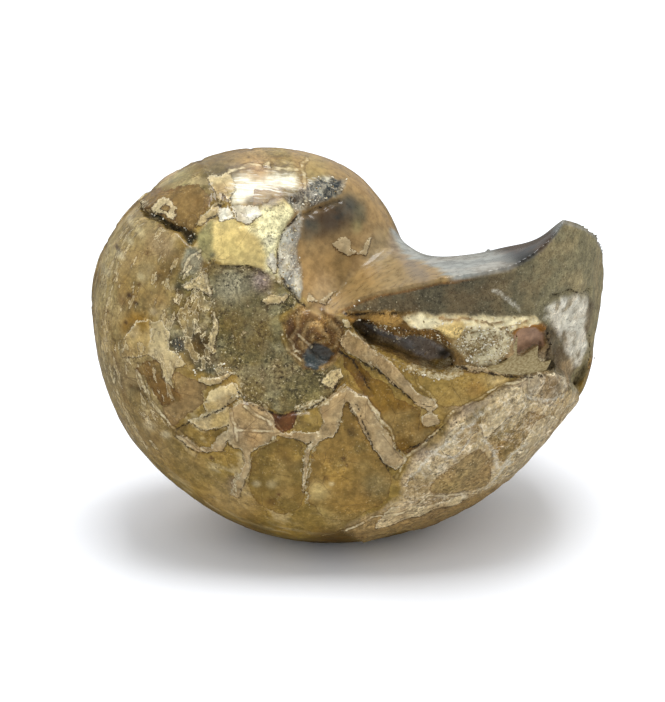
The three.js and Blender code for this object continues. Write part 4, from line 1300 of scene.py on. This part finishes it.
    def pearl(self):
        """Fine growth lines in the mother-of-pearl."""
        fibre = self.put("ShaderNodeMapping", {"Vector": self.place, "Scale": (0.25, 2.2, 2.2)}).outputs[0]
        fibre = self.put("ShaderNodeTexNoise", {"Vector": fibre, "Scale": 1.0, "Detail": 4.0}).outputs["Fac"]
        pearl = self.number("pearl")
        self.tint(self.times(self.ramp(fibre, 0.52, 0.64, 0.0, 0.55), pearl), (188, 164, 124))
        self.tint(self.times(self.ramp(fibre, 0.48, 0.38, 0.0, 0.7), pearl), (255, 252, 236))

    def cracks(self):
        """Pale veins, the thin bright rims of layers, cracks and hairlines."""
        wobble = self.times(self.sum("SUBTRACT", self.fine, 0.5), 0.5)
        wider = self.times(self.sum("SUBTRACT", self.grit, 0.5), 2.2)
        vein = self.ramp(self.sum("ADD", self.number("vein"), wider), 0.75, 0.0)
        self.tint(self.times(vein, self.ramp(self.fine, 0.42, 0.58, 0.15, 0.75)), (232, 226, 206))
        rim = self.number("rim")
        bright = self.ramp(self.sum("ADD", rim, wobble), 0.3, 0.08)
        self.tint(self.times(bright, self.patchy), (226, 210, 170))
        # Painted shadow: a dark line 0.42 mm off each edge line, beside its pale rim.
        shade = self.ramp(self.sum("ABSOLUTE", self.sum("SUBTRACT", rim, 0.42)), 0.22, 0.05)
        self.tint(self.times(shade, 0.35), (70, 50, 28))
        opening = self.ramp(self.noise_at(0.45, 3.0), 0.36, 0.62, 0.12, 0.38)
        ratio = self.sum("DIVIDE", self.sum("ADD", self.number("crack"), wobble), opening)
        self.crack = self.ramp(ratio, 1.0, 0.35)
        self.tint(self.times(self.crack, 0.85), (52, 40, 24))
        hair = self.ramp(self.cells_at(0.16, feature="DISTANCE_TO_EDGE"), 0.012, 0.004)
        hair = self.times(hair, self.ramp(self.coarse, 0.46, 0.56))
        self.hairline = self.times(hair, self.ramp(self.speckle, 0.08, 0.4, 0.0, 0.4))
        self.tint(self.hairline, (66, 48, 28))

    def surface(self):
        """The shader, with its roughness and fine relief."""
        rough = self.ramp(self.gloss, 0.0, 1.0, 0.68, 0.3)
        rough = self.sum("ADD", rough, self.ramp(self.middle, 0.35, 0.7, -0.05, 0.12), clamp=True)
        rough = self.sum("ADD", rough, self.times(self.crack, 0.4), clamp=True)
        height = self.times(self.fine, self.sum("MULTIPLY_ADD", self.grain, 0.2, 0.002))
        waves = self.sum("MULTIPLY_ADD", self.grain, 0.4, 0.002)
        height = self.sum("MULTIPLY_ADD", self.middle, waves, height)
        for layer, thickness in ((self.shell_on, 0.1), (self.limed, 0.08), (self.hairline, -0.06)):
            height = self.sum("MULTIPLY_ADD", layer, thickness, height)
        bump = self.put("ShaderNodeBump", {"Strength": 0.8, "Distance": MM, "Height": height})
        coat = self.times(self.gloss, 0.4)
        return {"Base Color": self.shown, "Roughness": rough, "Normal": bump, "Coat Weight": coat}


def new_material(name):
    """A new material and its shader node."""
    material = bpy.data.materials.new(name)
    material.use_nodes = True
    return material, material.node_tree.nodes["Principled BSDF"]


def stone_finish(edge_group):
    """Polished stone and mother-of-pearl, coloured by the stone's own attributes."""
    material, shader = new_material("polished_fossil_stone")
    look = StoneLook(material.node_tree, edge_group)
    look.layers()
    look.scales()
    look.marbling()
    look.specks()
    look.lime()
    look.pearl()
    look.cracks()
    for name, value in look.surface().items():
        look.give(shader.inputs[name], value)
    shader.inputs["Coat Roughness"].default_value = 0.12
    shader.inputs["IOR"].default_value = 1.46
    shader.inputs["Specular IOR Level"].default_value = 0.2
    return material


def splinter_finish():
    """Pale brown splinters, streaked along their length."""
    material, shader = new_material("splintered_shell")
    t = Tree(material.node_tree)
    coords = t.put("ShaderNodeTexCoord").outputs["Object"]
    along = t.put("ShaderNodeMapping", {"Vector": coords, "Scale": (900.0, 2000.0, 3600.0)}).outputs[0]
    streak = t.put("ShaderNodeTexNoise", {"Vector": along, "Scale": 1.0, "Detail": 5.0}).outputs["Fac"]
    colour = t.blend(t.ramp(streak, 0.38, 0.62), tone((150, 132, 92)), tone((184, 168, 126)))
    t.give(shader.inputs["Base Color"], colour)
    t.give(shader.inputs["Roughness"], t.ramp(streak, 0.3, 0.7, 0.45, 0.7))
    bump = t.put("ShaderNodeBump", {"Strength": 0.6, "Distance": 0.1 * MM, "Height": streak})
    t.give(shader.inputs["Normal"], bump)
    shader.inputs["Specular IOR Level"].default_value = 0.2
    return material


def crystal_finish():
    """Tiny crystals, from brown to cream, glassy enough to glint."""
    material, shader = new_material("small_crystals")
    t = Tree(material.node_tree)
    shade = t.number("shade")
    colour = t.blend(t.ramp(shade, 0.08, 0.4), tone((140, 116, 74)), tone((216, 202, 162)))
    colour = t.blend(t.ramp(shade, 0.55, 0.85), colour, tone((252, 246, 226)))
    t.give(shader.inputs["Base Color"], colour)
    t.give(shader.inputs["Roughness"], t.ramp(shade, 0.0, 1.0, 0.5, 0.25))
    shader.inputs["Specular IOR Level"].default_value = 0.5
    return material


# ---- Splinters and crystals on the broken ledge ----------------------------------------------------------
SPLINTER_ROOTS = [(38.5, -7.2), (43, -10.3), (38.2, -2), (48.8, -7.5)]  # where the splinters meet the stone
SPLINTER_THICKNESS = 1.1


def from_coil(points):
    """From millimetres in the coil's frame to metres in the object's."""
    x, y, z = np.asarray(points, float).T
    c, s = math.cos(LEAN), math.sin(LEAN)
    y, z = c * y + s * z, c * z - s * y
    c, s = math.cos(TURN), math.sin(TURN)
    return (np.stack([c * x - s * y, s * x + c * y, z], axis=1) + COIL_AXIS) * MM


def face_depths(stone, spots):
    """The y of the stone's near face, in the coil's frame, at places across it."""
    tree = mathutils.bvhtree.BVHTree.FromPolygons(
        [v.co for v in stone.data.vertices], [list(f.vertices) for f in stone.data.polygons]
    )
    depths = []
    for x, z in spots:
        start, end = (mathutils.Vector(q) for q in from_coil([(x, -60, z), (x, 0, z)]))
        hit = tree.ray_cast(start, (end - start).normalized())[0]
        depths.append(to_coil(np.array([hit]))[0, 1])
    return np.array(depths)


def ragged(outline, pace, size, seed):
    """The outline in short steps, each pushed a little to one side."""
    steps = []
    for a, b in zip(outline, outline[1:] + outline[:1]):
        count = max(2, round(math.dist(a, b) / pace))
        steps += [np.array(a) + (np.array(b) - a) * k / count for k in range(count)]
    points = np.array(steps)
    flat = np.column_stack([points[:, 0], np.zeros(len(points)), points[:, 1]])
    push = np.stack([noise(flat, 1.1, seed), noise(flat, 1.1, seed + 1)], axis=1)
    return points + size * push


def splinters(stone):
    """A thin plate of shell that ends in spikes, standing before the recess."""
    rim = ragged(SPLINTER, 0.35, 0.12, 201)
    spread = [(x, z) for x in np.arange(33, 51, 0.5) for z in np.arange(-11.5, -1, 0.5)]
    grid = np.array(spread) + 0.15 * np.array([(-1) ** k for k in range(len(spread))])[:, None]
    inner = grid[from_line(grid[:, 0], grid[:, 1], rim, closed=True) < -0.25]
    ring = [(k, (k + 1) % len(rim)) for k in range(len(rim))]
    flat = [mathutils.Vector(q) for q in np.vstack([rim, inner])]
    spots, _, faces, *_ = mathutils.geometry.delaunay_2d_cdt(flat, ring, [], 1, 1e-5)
    spots = np.array([tuple(v) for v in spots])
    roots = np.array(SPLINTER_ROOTS)
    places = np.column_stack([roots, np.ones(len(roots))])
    slope, *_ = np.linalg.lstsq(places, face_depths(stone, roots), rcond=None)
    middle = spots @ slope[:2] + slope[2]
    inside = -from_line(spots[:, 0], spots[:, 1], rim, closed=True)
    place = np.column_stack([spots[:, 0], middle, spots[:, 1]])
    swell = np.sqrt(np.clip(inside / 0.9, 0, 1)) * (0.35 + 0.2 * noise(place * (0.4, 1, 1), 0.9, 211))
    front, back = place.copy(), place.copy()
    front[:, 1] += -0.1 - swell
    back[:, 1] += SPLINTER_THICKNESS
    form = bmesh.new()
    sheets = [[form.verts.new(q) for q in from_coil(side)] for side in (front, back)]
    border = {}
    for face in faces:
        form.faces.new([sheets[0][k] for k in face])
        form.faces.new([sheets[1][k] for k in reversed(face)])
        for a, b in zip(face, face[1:] + face[:1]):
            border[(a, b)] = border.get((b, a), 0) == 0 and (a, b) not in border
            if (b, a) in border:
                border[(a, b)] = border[(b, a)] = False
    for (a, b), outer in border.items():
        if outer:
            form.faces.new([sheets[0][b], sheets[0][a], sheets[1][a], sheets[1][b]])
    bmesh.ops.recalc_face_normals(form, faces=form.faces)
    return add_object("splinters", finished(form, "splinters"))


def crystal_tree(material):
    """Strews low crystals over a surface where its "crystals" attribute says so."""
    group = bpy.data.node_groups.new("strewn crystals", "GeometryNodeTree")
    sockets = {"Crystals per square metre": 7.0e6, "Smallest": 0.13 * MM, "Largest": 0.5 * MM}
    group.interface.new_socket("Geometry", in_out="INPUT", socket_type="NodeSocketGeometry")
    for label in sockets:
        group.interface.new_socket(label, in_out="INPUT", socket_type="NodeSocketFloat")
    group.interface.new_socket("Geometry", in_out="OUTPUT", socket_type="NodeSocketGeometry")
    t = Tree(group)
    given = t.put("NodeGroupInput").outputs
    share = t.put("GeometryNodeInputNamedAttribute", {"Name": "crystals"}, data_type="FLOAT")
    density = t.times(share.outputs["Attribute"], given["Crystals per square metre"])
    spread = {"Mesh": given["Geometry"], "Density": density, "Seed": 7}
    spots = t.put("GeometryNodeDistributePointsOnFaces", spread)
    shade = t.put("FunctionNodeRandomValue", {"Seed": 11}, data_type="FLOAT").outputs[1]
    marked = t.put("GeometryNodeStoreNamedAttribute", {"Geometry": spots.outputs["Points"], "Name": "shade"},
                   data_type="FLOAT", domain="POINT")
    t.give(marked.inputs["Value"], shade)
    cone = {"Vertices": 5, "Radius Top": 0.3, "Radius Bottom": 0.5, "Depth": 1.1}
    shape = t.put("GeometryNodeMeshCone", cone).outputs["Mesh"]
    turn = t.put("FunctionNodeRandomValue", {0: (0.0, 0.0, 0.0), 1: (6.28, 6.28, 6.28), "Seed": 13},
                 data_type="FLOAT_VECTOR").outputs[0]
    size = t.put("FunctionNodeRandomValue", {"Seed": 17}, data_type="FLOAT").outputs[1]
    size = t.sum("POWER", size, 2.0)
    reach = t.sum("SUBTRACT", given["Largest"], given["Smallest"])
    size = t.sum("MULTIPLY_ADD", size, reach, given["Smallest"])
    strewn = t.put("GeometryNodeInstanceOnPoints", {"Points": marked, "Instance": shape, "Scale": size})
    t.give(strewn.inputs["Rotation"], turn)
    real = t.put("GeometryNodeRealizeInstances", {"Geometry": strewn})
    dressed = t.put("GeometryNodeSetMaterial", {"Geometry": real, "Material": material})
    t.put("NodeGroupOutput", {"Geometry": dressed})
    return group, sockets


def crystals(stone, material):
    """The small crystals on the ledge, the crusts and the broken edges, as one mesh."""
    host = add_object("crystals", stone.data.copy())
    modifier = host.modifiers.new("strewn crystals", "NODES")
    modifier.node_group, sizes = crystal_tree(material)
    for item in modifier.node_group.interface.items_tree:
        if item.in_out == "INPUT" and item.name in sizes:
            modifier[item.identifier] = sizes[item.name]
    keep_result(host)
    return host


# ---- Floor, light and camera -----------------------------------------------------------------------------
CAMERA_DISTANCE = 0.48
CAMERA_HEIGHT = math.radians(22)
AIM = tuple((COIL_AXIS + (8.51, -4.34, -10.77)) * MM)
LENS = 114.4
# Polished stone would pick up too much of so bright a floor and room, so its reflections see both dimmer.
FLOOR_COLOUR, FLOOR_REFLECTED = (244, 247, 252), (110, 104, 96)
ROOM_STRENGTH, ROOM_REFLECTED = 0.82, 0.5
SOFTBOXES = [  # name, place, width and power
    ("high softbox", (0.04, 0.0, 0.85), 0.42, 5.4),
    ("back softbox", (-0.05, 0.5, 0.75), 0.3, 0.5),
]


def floor():
    """A pale floor that runs out of sight."""
    grid = bmesh.new()
    bmesh.ops.create_grid(grid, x_segments=8, y_segments=8, size=6)
    sheet = add_object("floor", finished(grid, "floor"))
    material, shader = new_material("pale_floor")
    t = Tree(material.node_tree)
    mirrored = t.put("ShaderNodeLightPath").outputs["Is Glossy Ray"]
    t.give(shader.inputs["Base Color"], t.blend(mirrored, rgba(FLOOR_COLOUR), rgba(FLOOR_REFLECTED)))
    shader.inputs["Roughness"].default_value = 0.9
    shader.inputs["Specular IOR Level"].default_value = 0.1
    sheet.data.materials.append(material)


def softbox(name, place, size, power):
    """A square light that faces the stone."""
    light = bpy.data.lights.new(name, "AREA")
    light.size = size
    light.energy = power
    lamp = add_object(name, light)
    lamp.location = place
    lamp.rotation_euler = (mathutils.Vector(AIM) - lamp.location).to_track_quat("-Z", "Y").to_euler()


def stage():
    """The floor, the room's light, the softboxes and the camera."""
    scene = bpy.context.scene
    floor()
    world = bpy.data.worlds.new("pale room")
    world.use_nodes = True
    world.node_tree.nodes["Background"].inputs["Color"].default_value = (1, 1, 1, 1)
    t = Tree(world.node_tree)
    mirrored = t.put("ShaderNodeLightPath").outputs["Is Glossy Ray"]
    strength = t.ramp(mirrored, 0.0, 1.0, ROOM_STRENGTH, ROOM_REFLECTED)
    t.give(world.node_tree.nodes["Background"].inputs["Strength"], strength)
    scene.world = world
    for box in SOFTBOXES:
        softbox(*box)
    camera = add_object("camera", bpy.data.cameras.new("camera"))
    camera.data.lens = LENS
    camera.data.clip_start = 0.01
    away = mathutils.Vector((0, -math.cos(CAMERA_HEIGHT), math.sin(CAMERA_HEIGHT)))
    camera.location = mathutils.Vector(AIM) + CAMERA_DISTANCE * away
    camera.rotation_euler = (math.pi / 2 - CAMERA_HEIGHT, 0, 0)
    scene.camera = camera
    scene.view_settings.view_transform = "Standard"


# ---- Making it -------------------------------------------------------------------------------------------
stone = subject_of(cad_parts["nautilus"])
carve(stone)
paint(stone)
stone.data.materials.append(stone_finish(layer_edge()))
spikes = splinters(stone)
spikes.data.materials.append(splinter_finish())
grains = crystals(stone, crystal_finish())
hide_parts("nautilus")
for piece in (stone, spikes, grains):
    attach(piece, "root")
stage()
